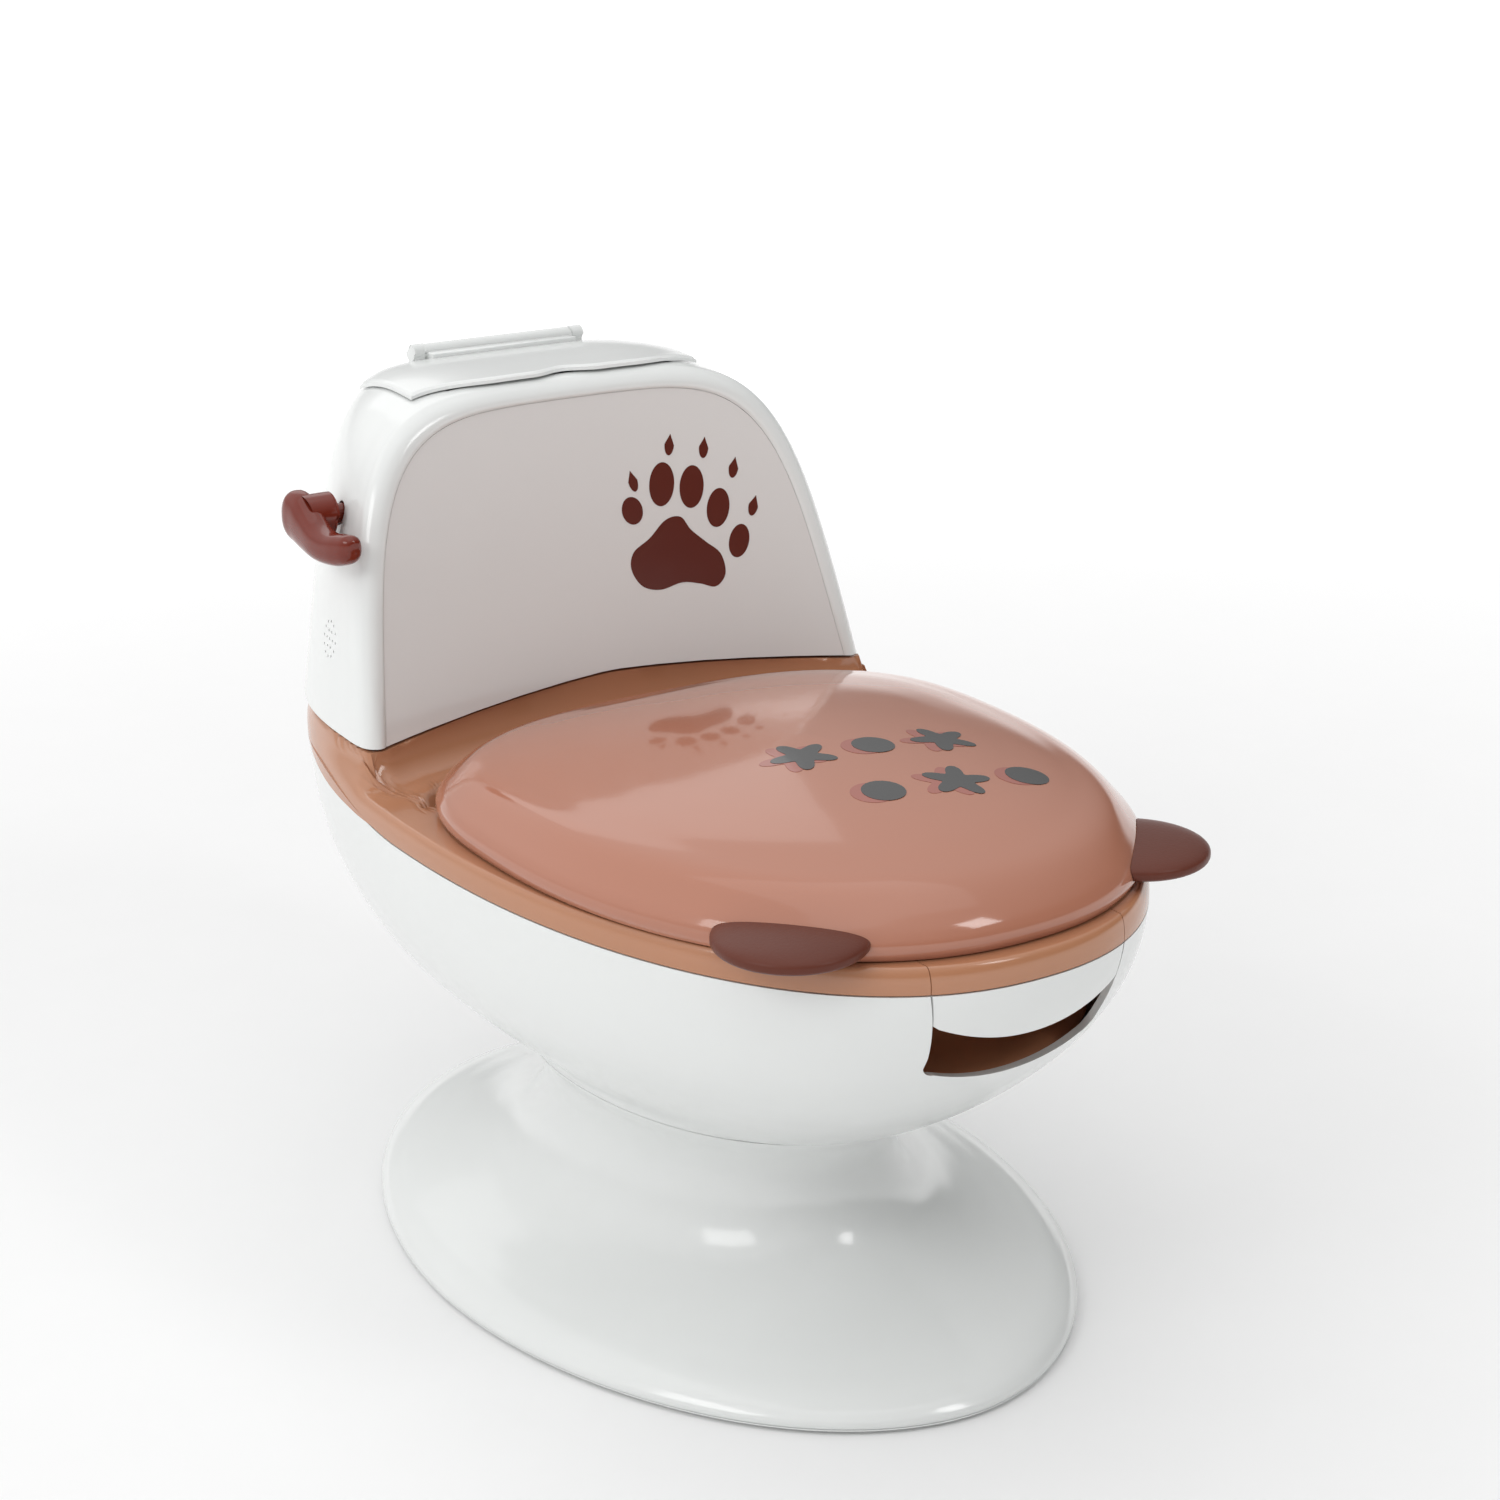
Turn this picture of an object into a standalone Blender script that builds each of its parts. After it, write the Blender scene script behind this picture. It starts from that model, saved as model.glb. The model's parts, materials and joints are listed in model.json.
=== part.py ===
"""Toddler potty chair shaped like a small toilet, modelled as its separate mouldings.

The origin is on the floor under the middle of the chair. -Y is the front, +Z is up and the flush
lever is on the -X side. Heights below are counted from a plane 2.5 mm under the foot pads, because
the whole model hangs on an empty at DATUM_Z that sets the pads' undersides on the floor.
"""
import math

import bmesh
import bpy

# ---- driving dimensions, metres ----
DATUM_Z = -0.0025            # height of the datum plane under the floor
GAP = 0.0003                 # running gap between neighbouring mouldings
WALL = 0.0026                # wall of the large white mouldings
THIN_WALL = 0.0020           # wall of the small mouldings

# Plan outlines: half width, y of the widest point, y of the front and rear ends, exponents front and rear.
DECK_PLAN = (0.1235, 0.015, -0.200, 0.200, 2.2, 2.5)
BASE_PLAN = (0.1223, 0.000, -0.1752, 0.1740, 1.91, 1.91)
NECK_PLAN = (0.068, 0.000, -0.104, 0.097, 2.0, 2.0)
LID_PLAN = (0.1155, -0.031, -0.1927, 0.0612, 2.2, 2.8)
SEAT_PLAN = (0.066, -0.062, -0.150, 0.026, 2.1, 2.1)
TANK_PLAN = (0.1136, 0.065, 0.062, 0.1953, 2.5, 2.66)

BASE_BOTTOM = 0.0040
RIM_BOTTOM = 0.0053
NECK_TOP = 0.0815
BOWL_BOTTOM = NECK_TOP + 0.0005
BOWL_TOP = 0.1794
DECK_BOTTOM = 0.1800
DECK_TOP = 0.1890
SEAT_WELL = 0.1830
REAR_RISE = 0.0090           # the deck's lower edge climbs this much towards the tank
COVE = 0.0120                # radius of the cove between the deck and the tank
WELL_REAR_FROM = 0.030       # behind this y the seat well runs out past the lid's edge, for its hinge
WELL_END = 0.0635

LID_BOTTOM = 0.1895
LID_CROWN = 0.2225
LID_HINGE = (0.0500, 0.1975)

TANK_BOTTOM = 0.1990
TANK_TOP = 0.3243
TANK_TAPER = (0.142, 0.165)  # sideways lean of the walls at the face and behind it
TANK_ROUND = (4.66, 6.1)     # exponent of the tank's arch at the face and behind it
TANK_FILL = 0.36             # share of the depth over which the arch fills out
TANK_SHOULDER = 0.1008       # y where the tank's roof starts to round off
ROOF_ROUND = 5.66
TANK_SEAT = 0.0012           # gap between the deck's ledge and the tank's foot
REAR_LIFT = 0.0012           # extra height of the tank's foot at the back
FACE_FOOT = 0.0628           # y of the face at its lower corners
FACE_LEAN = 0.2586
FACE_HALF = 0.108
FACE_DISH = 0.0121
RIM_WIDTH = 0.0085
RIM_DEPTH = 0.0080           # how far behind the face the rim's roll ends

TANK_LID_HINGE = (0.1630, 0.3275)
TANK_LID_HALF = 0.0645
STORE_HALF = 0.0508
STORE_Y = (0.1094, 0.150)

LEVER_AXIS = (0.1120, 0.2810)
LEVER_REACH = -0.1175

SEAM_HALF = 0.0400           # half width of the pot handle between its two seams
PIN_R = 0.0015
PIN_BORE_R = 0.00175
BORE_LENGTH = 0.0120         # a bore's cutter runs right through what it is cut in
KNUCKLE_R = 0.0031
KNUCKLE_LENGTH = 0.0090
EYE_R = 0.0040               # round head of a hinge post
EYE_LENGTH = 0.0083
TANK_PIN_R = 0.0012
TANK_PIN_BORE_R = 0.00145
BARREL_R = 0.0032            # hinge barrel of the tank lid
LUG_R = 0.0034
LUG_LENGTH = 0.0046
STEM_R = 0.0088              # flush lever's stem
SHAFT_R = 0.0038
SHAFT_END = -0.0710

WHITE = (0.86, 0.87, 0.87)
TAN = (0.55, 0.28, 0.16)
PINK = (0.56, 0.29, 0.22)
BROWN = (0.13, 0.022, 0.014)
STEEL = (0.55, 0.56, 0.57)
RUBBER = (0.30, 0.30, 0.31)
BLACK = (0.03, 0.03, 0.03)
GREEN = (0.05, 0.22, 0.09)


# ---- scene, materials and mesh helpers ----
def clear_scene():
    for obj in list(bpy.data.objects):
        bpy.data.objects.remove(obj, do_unlink=True)


clear_scene()
PARTS = bpy.data.collections.new("potty_chair")
CUTTERS = bpy.data.collections.new("cutters")
for collection in (PARTS, CUTTERS):
    bpy.context.scene.collection.children.link(collection)

datum = bpy.data.objects.new("height_datum", None)
datum.location = (0, 0, DATUM_Z)
PARTS.objects.link(datum)


def pivot(name, y, z):
    """Empty on a hinge axis that runs along X."""
    empty = bpy.data.objects.new(name, None)
    empty.location = (0, y, z)
    empty.parent = datum
    PARTS.objects.link(empty)
    return empty


def material(name, color, roughness, metallic=0.0):
    mat = bpy.data.materials.new(name)
    mat.use_nodes = True
    shader = mat.node_tree.nodes["Principled BSDF"]
    shader.inputs["Base Color"].default_value = (*color, 1)
    shader.inputs["Roughness"].default_value = roughness
    shader.inputs["Metallic"].default_value = metallic
    return mat


def add(name, bm, color, roughness=0.2, metallic=0.0, parent=None, sharp=0.7):
    """Turn a bmesh into a named part that keeps its place in the datum's frame."""
    mesh = bpy.data.meshes.new(name)
    holder = parent or datum
    if parent:
        bmesh.ops.translate(bm, verts=bm.verts, vec=[-c for c in parent.location])
    bm.to_mesh(mesh)
    bm.free()
    mesh.shade_smooth()
    mesh.set_sharp_from_angle(angle=sharp)
    obj = bpy.data.objects.new(name, mesh)
    obj.parent = holder
    obj.data.materials.append(material(name, color, roughness, metallic))
    PARTS.objects.link(obj)
    return obj


def cutter(name, bm):
    mesh = bpy.data.meshes.new(name)
    bm.normal_update()
    bmesh.ops.recalc_face_normals(bm, faces=bm.faces)
    bm.to_mesh(mesh)
    bm.free()
    obj = bpy.data.objects.new(name, mesh)
    obj.parent = datum
    obj.hide_render = True
    obj.display_type = "WIRE"
    CUTTERS.objects.link(obj)
    return obj


def boolean(obj, tool, operation="DIFFERENCE"):
    mod = obj.modifiers.new(operation.lower(), "BOOLEAN")
    mod.operation = operation
    mod.object = tool
    mod.solver = "EXACT"
    return obj


def shell(obj, thickness=WALL):
    """Give an open outer skin its wall, inwards."""
    mod = obj.modifiers.new("wall", "SOLIDIFY")
    mod.thickness = thickness
    mod.offset = -1
    mod.use_even_offset = True
    return obj


def loft(rings, close_start=False, close_end=False, wrap=True):
    """Skin a list of equal rings of points. Anticlockwise rings that go up face outwards.

    A list that ends with its own first ring is skinned all the way round.
    """
    bm = bmesh.new()
    closed = rings[0] is rings[-1]
    loops = [[bm.verts.new(p) for p in ring] for ring in (rings[:-1] if closed else rings)]
    if closed:
        loops.append(loops[0])
    count = len(loops[0])
    for low, high in zip(loops, loops[1:]):
        for i in range(count if wrap else count - 1):
            j = (i + 1) % count
            bm.faces.new((low[i], low[j], high[j], high[i]))
    if close_start:
        bm.faces.new(loops[0][::-1])
    if close_end:
        bm.faces.new(loops[-1])
    return bm


def prism(outline, axis, low, high):
    """Closed prism of a 2D outline along one axis; the outline holds the other two coordinates."""
    order = {"x": lambda u, v, w: (w, u, v), "y": lambda u, v, w: (u, w, v), "z": lambda u, v, w: (u, v, w)}
    place = order[axis]
    bm = loft([[place(u, v, level) for u, v in outline] for level in (low, high)], True, True)
    bmesh.ops.recalc_face_normals(bm, faces=bm.faces)
    return bm


def box(low, high, bevel=0.0):
    bm = bmesh.new()
    bmesh.ops.create_cube(bm, size=1.0)
    for v in bm.verts:
        v.co = [(a + b) / 2 + c * (b - a) for a, b, c in zip(low, high, v.co)]
    if bevel:
        bmesh.ops.bevel(bm, geom=bm.edges[:], offset=bevel, segments=2, profile=0.5, affect="EDGES")
    return bm


def rod(axis, centre, radius, length, sides=20, tip_radius=None):
    """Cylinder or cone about a centre, along X, Y or Z."""
    bm = bmesh.new()
    top = radius if tip_radius is None else tip_radius
    bmesh.ops.create_cone(bm, cap_ends=True, segments=sides, radius1=radius, radius2=top, depth=length)
    turn = {"x": lambda c: (c.z, c.x, c.y), "y": lambda c: (c.x, -c.z, c.y), "z": lambda c: tuple(c)}[axis]
    for v in bm.verts:
        v.co = [a + b for a, b in zip(centre, turn(v.co))]
    bmesh.ops.recalc_face_normals(bm, faces=bm.faces)
    return bm


# ---- shape functions ----
def smooth(t):
    t = min(1.0, max(0.0, t))
    return t * t * (3 - 2 * t)


def power(value, exponent):
    return math.copysign(abs(value) ** exponent, value)


def plan_points(plan, count, inset=0.0):
    """Superellipse outline whose front and rear halves may differ, anticlockwise from +X."""
    half, middle, front, rear, n_front, n_rear = plan
    points = []
    for i in range(count):
        angle = 2 * math.pi * i / count
        c, s = math.cos(angle), math.sin(angle)
        n = n_front if s < 0 else n_rear
        reach = middle - front if s < 0 else rear - middle
        points.append(((half - inset) * power(c, 2 / n), middle + (reach - inset) * power(s, 2 / n)))
    return points


def plan_level(plan, x, y):
    """1 on the plan's outline, less inside it."""
    half, middle, front, rear, n_front, n_rear = plan
    n = n_front if y < middle else n_rear
    reach = middle - front if y < middle else rear - middle
    return (abs(x / half) ** n + abs((y - middle) / reach) ** n) ** (1 / n)


def mix_plans(low, high, t):
    return tuple(a + (b - a) * t for a, b in zip(low, high))


def deck_climb(y):
    """How far the deck's lower edge has climbed towards the tank at this y."""
    return REAR_RISE * smooth((y - 0.020) / 0.090)


def face_edge(x):
    """y and z of the tank face's lower edge."""
    u = min(1.0, abs(x) / 0.105)
    return 0.0755 - 0.0130 * u ** 2.5, 0.2010 + 0.0090 * (1 - u ** 1.3)


def tank_distance(x, y):
    """How far a point of the deck lies outside the tank's footprint."""
    middle = TANK_PLAN[1]
    back = max(y, middle)
    outside = (plan_level(TANK_PLAN, x, back) - 1) * math.hypot(x, back - middle)
    return math.hypot(max(0.0, face_edge(x)[0] - y), max(0.0, outside))


def deck_height(x, y):
    """Height of the deck's top skin: seat well, flat rim, and the cove up to the tank."""
    u = min(1.0, tank_distance(x, y) / COVE)
    rise = (face_edge(x)[1] - DECK_TOP) * (1 - math.sqrt(max(0.0, 1 - (1 - u) ** 2)))
    well_limit = 1.07 if y > WELL_REAR_FROM else 0.93
    well = smooth((well_limit - plan_level(LID_PLAN, x, y)) / 0.06) if y < WELL_END else 0.0
    return DECK_TOP + rise - (DECK_TOP - SEAT_WELL) * well


def bowl_ring(t, count, inset=0.0):
    """Outer outline of the bowl at the fraction t of its height."""
    side = (1 - (1 - t) ** 3.2) ** 1.6
    front = (1 - (1 - t) ** 1.77) ** 0.87
    rear = (1 - (1 - t) ** 3.6) ** 0.55
    half = NECK_PLAN[0] + (DECK_PLAN[0] - NECK_PLAN[0]) * side
    front_y = NECK_PLAN[2] + (DECK_PLAN[2] - NECK_PLAN[2]) * front
    rear_y = NECK_PLAN[3] + (DECK_PLAN[3] - NECK_PLAN[3]) * rear
    middle = DECK_PLAN[1] * t
    n_front = 2.0 + (DECK_PLAN[4] - 2.0) * t
    n_rear = 2.0 + (DECK_PLAN[5] - 2.0) * t
    points = plan_points((half, middle, front_y, rear_y, n_front, n_rear), count, inset)
    level = BOWL_BOTTOM + (BOWL_TOP - BOWL_BOTTOM) * t
    return [(x, y, level + t * deck_climb(y)) for x, y in points]


def arch_shape(share):
    """Exponent and taper of the tank's arch at this share of its depth."""
    blend = smooth(share / TANK_FILL)
    return [front + (back - front) * blend for front, back in (TANK_ROUND, TANK_TAPER)]


def arch(sections, inset=0.0, share=0.0):
    """Outline of the tank seen from the front: (x, z) from the -X foot over the top to the +X foot."""
    points = []
    height = TANK_TOP - TANK_BOTTOM
    n, taper = arch_shape(share)
    for i in range(sections + 1):
        angle = math.pi * i / sections
        c, s = math.cos(angle), abs(math.sin(angle))
        reach = (abs(c) ** n + s ** n) ** (-1 / n)
        half = TANK_PLAN[0] - taper * height * reach * s
        points.append((-(half - inset) * reach * c, TANK_BOTTOM + (height - inset) * reach * s))
    return points


def face_y(x, z):
    """y of the leaning, dished tank face."""
    dish = FACE_DISH * (1 - 0.5 * (z - TANK_BOTTOM) / 0.12)
    return FACE_FOOT + FACE_LEAN * (z - TANK_BOTTOM) + dish * (1 - min(1.0, abs(x) / FACE_HALF) ** 2)


def lift_foot(x, z, foot):
    """Raise the foot of an arch onto a curved lower edge, fading out towards the top."""
    fade = 1 - (z - TANK_BOTTOM) / (TANK_TOP - TANK_BOTTOM)
    return z + (foot - TANK_BOTTOM) * fade


def tank_scale(y):
    """Width and height factors of the tank's arch at this y."""
    _, middle, _, rear, _, n = TANK_PLAN
    back = min(1.0, max(0.0, (y - middle) / (rear - middle)))
    roof = min(1.0, max(0.0, (y - TANK_SHOULDER) / (rear - TANK_SHOULDER)))
    return (1 - back ** n) ** (1 / n), (1 - roof ** ROOF_ROUND) ** (1 / ROOF_ROUND)


# ---- base ----
SEGMENTS = 36

FOOT_PLACES = [(0.085 * math.sin(a), 0.130 * math.cos(a)) for a in (math.pi * k / 3 for k in range(6))]
for number, (x, y) in enumerate(FOOT_PLACES, 1):
    foot = rod("z", (x, y, 0.0031), 0.009, 0.0012, 24)
    add(f"foot_pad_{number}", foot, RUBBER, 0.7, sharp=0.5)

base_rings = []
for inset, z in ((0.0012, BASE_BOTTOM), (0.0, 0.0043), (0.0, 0.0047), (0.0008, 0.0050)):
    base_rings.append([(x, y, z) for x, y in plan_points(BASE_PLAN, SEGMENTS, inset)])
add("base_plate", loft(base_rings, True, True), WHITE, 0.25)

# Profile of the pedestal: 1 is the rim of the base, 0 the waist of the neck.
WAIST_PLAN = (0.057, 0.000, -0.090, 0.088, 2.0, 2.0)
PEDESTAL_PROFILE = ((1.0, RIM_BOTTOM), (1.0, 0.0066), (0.975, 0.0092), (0.90, 0.0128), (0.72, 0.0171),
                    (0.52, 0.0214), (0.34, 0.0266), (0.17, 0.0343), (0.05, 0.0465), (0.01, 0.0600),
                    (0.04, 0.0700), (0.16, NECK_TOP))
pedestal_rings = []
for reach, z in PEDESTAL_PROFILE:
    flare = NECK_PLAN if z > 0.060 else BASE_PLAN
    share = reach / 0.16 if z > 0.060 else reach
    plan = mix_plans(WAIST_PLAN, flare, share)
    pedestal_rings.append([(x, y, z) for x, y in plan_points(plan, SEGMENTS)])
pedestal = add("pedestal", loft(pedestal_rings, close_end=True), WHITE, 0.15)
shell(pedestal)

BOWL_SHARES = (0, 0.05, 0.12, 0.22, 0.35, 0.5, 0.66, 0.83, 1.0)
bowl_rings = [bowl_ring(t, SEGMENTS) for t in BOWL_SHARES]
bowl = add("bowl_shell", loft(bowl_rings, close_start=True), WHITE, 0.15)
shell(bowl)

SCREW_PLACES = [(0.034 * sx, 0.052 * sy) for sx in (-1, 1) for sy in (-1, 1)]
for number, (x, y) in enumerate(SCREW_PLACES, 1):
    bore = cutter(f"neck_bore_{number}", rod("z", (x, y, NECK_TOP), 0.0024, 0.012, 16))
    boolean(pedestal, bore)
    boolean(bowl, bore)
    screw = rod("z", (x, y, 0.0818), 0.0020, 0.0090, 12)
    head = rod("z", (x, y, 0.0762), 0.0042, 0.0030, 16)
    head_obj = cutter(f"neck_screw_head_{number}", head)
    boolean(add(f"neck_screw_{number}", screw, STEEL, 0.3, 1.0, sharp=0.5), head_obj, "UNION")


# ---- seat deck, split at the pot handle's two seams ----
def deck_solid():
    """The deck's moulding: from its lower outer edge over the top, down the collar and back underneath."""
    outer = plan_points(DECK_PLAN, SEGMENTS)
    inner = plan_points(SEAT_PLAN, SEGMENTS)

    def surface(share, drop):
        ring = []
        for (xo, yo), (xi, yi) in zip(outer, inner):
            x, y = xi + (xo - xi) * share, yi + (yo - yi) * share
            ring.append((x, y, deck_height(x, y) - drop))
        return ring

    def collar(inset, depth):
        return [(x, y, SEAT_WELL - depth) for x, y in plan_points(SEAT_PLAN, SEGMENTS, inset)]

    flat_shares = (0.955, 0.88, 0.80, 0.70, 0.58, 0.44, 0.34, 0.285, 0.255, 0.222, 0.210, 0.14, 0.02)
    rings = [[(x, y, DECK_BOTTOM + deck_climb(y)) for x, y in outer]]
    rings += [surface(0.998, 0.0050), surface(0.985, 0.0018)]
    rings += [surface(share, 0.0) for share in flat_shares]
    rings += [collar(0.0, 0.0010), collar(0.0006, 0.0090), collar(-0.0014, 0.0090), collar(-0.0020, 0.0030)]
    rings += [surface(share, THIN_WALL + 0.0002) for share in flat_shares[:0:-1]]
    rings += [surface(0.945, 0.0034)]
    rings += [[(x, y, DECK_BOTTOM + deck_climb(y)) for x, y in plan_points(DECK_PLAN, SEGMENTS, THIN_WALL)]]
    return loft(rings + rings[:1])


def notch(margin):
    """Front notch for the pot handle and the finger hole below it, as an outline in X and Z."""
    half = SEAM_HALF + margin
    points = [(half, 0.230), (half, 0.1790), (half - 0.0022, 0.1660), (half - 0.0042, 0.1560)]
    for k in range(9):
        x = 0.0300 - 0.0600 * k / 8
        points.append((x, 0.1404 - margin + 0.0105 * (abs(x) / 0.0300) ** 2))
    points += [(-half + 0.0042, 0.1560), (-half + 0.0022, 0.1660), (-half, 0.1790), (-half, 0.230)]
    return points


def skirt_outline(margin):
    """The white apron under the handle, as an outline in X and Z: its lower edge is an arc."""
    half = SEAM_HALF - margin
    points = [(half, 0.1797), (half - 0.0016, 0.1680)]
    for k in range(1, 8):
        x = (half - 0.0016) * (1 - k / 4)
        points.append((x, 0.1584 + 0.0092 * (x / 0.0384) ** 2))
    points += [(-half + 0.0016, 0.1680), (-half, 0.1797)]
    return points


def handle_block(half, rear):
    """Upright block round the front of the deck, out to this half width and back to this y."""
    return prism([(-half, -0.25), (half, -0.25), (half, rear), (-half, rear)], "z", 0.15, 0.23)


deck = add("seat_deck", deck_solid(), TAN, 0.2)
boolean(deck, cutter("handle_seam", handle_block(SEAM_HALF + GAP, -0.125)))
handle = add("pot_handle", deck_solid(), TAN, 0.2)
boolean(handle, cutter("handle_keep", handle_block(SEAM_HALF, -0.1565)), "INTERSECT")

boolean(bowl, cutter("finger_notch", prism(notch(GAP), "y", -0.26, -0.150)))
skirt_rings = [ring for share, ring in zip(BOWL_SHARES, bowl_rings) if share >= 0.35]
skirt = shell(add("pot_handle_skirt", loft(skirt_rings), WHITE, 0.15))
boolean(skirt, cutter("skirt_keep", prism(skirt_outline(GAP), "y", -0.26, -0.150)), "INTERSECT")


# ---- pot and the tan liner it stands in ----
TUB_SEGMENTS = 28
TUB_ROUND = 2.1


def tub(levels):
    """Outer skin of a tub: (z, half width, front y, rear y) from the bottom up."""
    rings = []
    for z, half, front, rear in levels:
        plan = (half, (front + rear) / 2, front, rear, TUB_ROUND, TUB_ROUND)
        rings.append([(x, y, z) for x, y in plan_points(plan, TUB_SEGMENTS)])
    return rings


liner_levels = ((0.0890, 0.052, -0.090, 0.064), (0.1050, 0.073, -0.128, 0.088),
                (0.1345, 0.092, -0.1702, 0.100), (0.1375, 0.0925, -0.1722, 0.100),
                (0.1390, 0.090, -0.1660, 0.096), (0.1412, 0.084, -0.1535, 0.086),
                (0.1790, 0.084, -0.1535, 0.060))
shell(add("pot_liner", loft(tub(liner_levels), close_start=True), TAN, 0.3), THIN_WALL)

pot_levels = ((0.0940, 0.040, -0.087, 0.000), (0.0975, 0.047, -0.098, 0.010), (0.1300, 0.058, -0.134, 0.016),
              (0.1828, 0.0630, -0.1460, 0.0215),
              (0.1838, 0.0650, -0.1482, 0.0240), (0.1840, 0.0690, -0.1530, 0.0290),
              (0.1850, 0.0705, -0.1550, 0.0305), (0.1862, 0.0700, -0.1545, 0.0300))
shell(add("pot", loft(tub(pot_levels), close_start=True), TAN, 0.3), THIN_WALL)


# ---- lid: dome, liner, ears, bumpers and hinge ----
lid_pivot = pivot("lid_hinge_axis", *LID_HINGE)
HINGE_Y, HINGE_Z = LID_HINGE
LID_WALL = 0.0022

LID_EDGE = ((0.0012, LID_BOTTOM), (0.0, 0.1920), (0.0, 0.1950), (0.0014, 0.1978), (0.0050, 0.2020))
LID_DOME = ((0.90, 0.2083), (0.78, 0.2130), (0.60, 0.2172), (0.38, 0.2205), (0.16, LID_CROWN))
LID_CENTRE = -0.062


def lid_rings(count, grow=0.0):
    rings = [[(x, y, z) for x, y in plan_points(LID_PLAN, count, inset - grow)] for inset, z in LID_EDGE]
    for share, z in LID_DOME:
        rings.append([(x * share, LID_CENTRE + (y - LID_CENTRE) * share, z + grow)
                      for x, y in plan_points(LID_PLAN, count, 0.0)])
    return rings


lid_skin = loft(lid_rings(SEGMENTS), close_end=True)
lid = shell(add("lid_shell", lid_skin, PINK, 0.12, parent=lid_pivot), LID_WALL)

POST_X = 0.0300
KNUCKLE_X = 0.0394
liner_plan = [(x, min(y, 0.0400)) for x, y in plan_points(LID_PLAN, SEGMENTS, 0.0048)]
liner = add("lid_liner", prism(liner_plan, "z", 0.1912, 0.1930), PINK, 0.25, parent=lid_pivot, sharp=0.5)
for side, sign in (("left", -1), ("right", 1)):
    post_x = sign * POST_X
    knuckle_x = sign * KNUCKLE_X
    # the dome is slotted over each hinge post, so that it can swing past it
    slot = box((post_x - 0.0055, 0.0405, 0.180), (post_x + 0.0055, 0.080, 0.2030))
    boolean(lid, cutter(f"post_slot_{side}", slot))
    knuckle = rod("x", (knuckle_x, HINGE_Y, HINGE_Z), KNUCKLE_R, KNUCKLE_LENGTH)
    arm = box((knuckle_x - 0.0044, 0.034, 0.1917), (knuckle_x + 0.0044, 0.051, 0.1960))
    knuckle_bore = rod("x", (knuckle_x, HINGE_Y, HINGE_Z), PIN_BORE_R, BORE_LENGTH)
    boolean(liner, cutter(f"knuckle_{side}", knuckle), "UNION")
    boolean(liner, cutter(f"knuckle_arm_{side}", arm), "UNION")
    boolean(liner, cutter(f"knuckle_bore_{side}", knuckle_bore))

    stand = box((post_x - 0.0042, HINGE_Y - EYE_R, SEAT_WELL + 0.0008),
                (post_x + 0.0042, HINGE_Y + EYE_R, HINGE_Z))
    eye = rod("x", (post_x, HINGE_Y, HINGE_Z), EYE_R, EYE_LENGTH)
    post_bore = rod("x", (post_x, HINGE_Y, HINGE_Z), PIN_BORE_R, BORE_LENGTH)
    post = add(f"hinge_post_{side}", stand, TAN, 0.3, sharp=0.5)
    boolean(post, cutter(f"post_eye_{side}", eye), "UNION")
    boolean(post, cutter(f"post_bore_{side}", post_bore))
    pin = rod("x", ((post_x + knuckle_x) / 2, HINGE_Y, HINGE_Z), PIN_R, 0.0185, 16)
    add(f"lid_hinge_pin_{side}", pin, STEEL, 0.25, 1.0, sharp=0.5)

EAR_CENTRE = (0.0720, -0.1585)
EAR_TURN = math.atan2(-0.642, 0.767)
EAR_HALF = (0.0262, 0.0262, 0.0050)
lid_mass = cutter("lid_envelope", loft(lid_rings(SEGMENTS, GAP), True, True))
for side, sign in (("left", -1), ("right", 1)):
    bm = bmesh.new()
    bmesh.ops.create_uvsphere(bm, u_segments=24, v_segments=10, radius=1.0)
    for v in bm.verts:
        u, w = v.co.x * EAR_HALF[0], v.co.y * EAR_HALF[1]
        x = EAR_CENTRE[0] + u * math.cos(EAR_TURN) - w * math.sin(EAR_TURN)
        y = EAR_CENTRE[1] + u * math.sin(EAR_TURN) + w * math.cos(EAR_TURN)
        v.co = (sign * x, y, 0.1953 + EAR_HALF[2] * power(v.co.z, 0.6))
    bmesh.ops.recalc_face_normals(bm, faces=bm.faces)
    ear = boolean(add(f"ear_{side}", bm, BROWN, 0.35, parent=lid_pivot), lid_mass)
    tab = box((-0.016, -0.0070, 0.1942), (0.004, 0.0070, 0.1966))
    slot = box((-0.020, -0.0074, 0.1938), (0.006, 0.0074, 0.1970))
    for blank in (tab, slot):
        for v in blank.verts:
            u, w = 0.0100 + v.co.x, v.co.y
            x = EAR_CENTRE[0] + u * math.cos(EAR_TURN) - w * math.sin(EAR_TURN)
            v.co = (sign * x, EAR_CENTRE[1] + u * math.sin(EAR_TURN) + w * math.cos(EAR_TURN), v.co.z)
    boolean(lid, cutter(f"ear_slot_{side}", slot))
    boolean(ear, cutter(f"ear_tab_{side}", tab), "UNION")

BUMPER_PLACES = ((0.058, -0.1640), (-0.058, -0.1640), (0.1085, -0.030), (-0.1085, -0.030))
for number, (x, y) in enumerate(BUMPER_PLACES, 1):
    bumper = rod("z", (x, y, 0.19005), 0.0030, 0.0015, 16)
    add(f"lid_bumper_{number}", bumper, RUBBER, 0.7, parent=lid_pivot, sharp=0.5)


# ---- tank ----
ARCH = 26
RECESS = 0.0022


def tank_section(inset, depth, scale=1.0):
    """Arch on the leaning face, pulled towards the middle of its lower edge by scale."""
    section = []
    for x, z in arch(ARCH, inset):
        x, z = x * scale, TANK_BOTTOM + (z - TANK_BOTTOM) * scale
        foot = face_edge(x)[1] + TANK_SEAT
        section.append((x, face_y(x, z) + depth, lift_foot(x, z, foot)))
    return section


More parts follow.
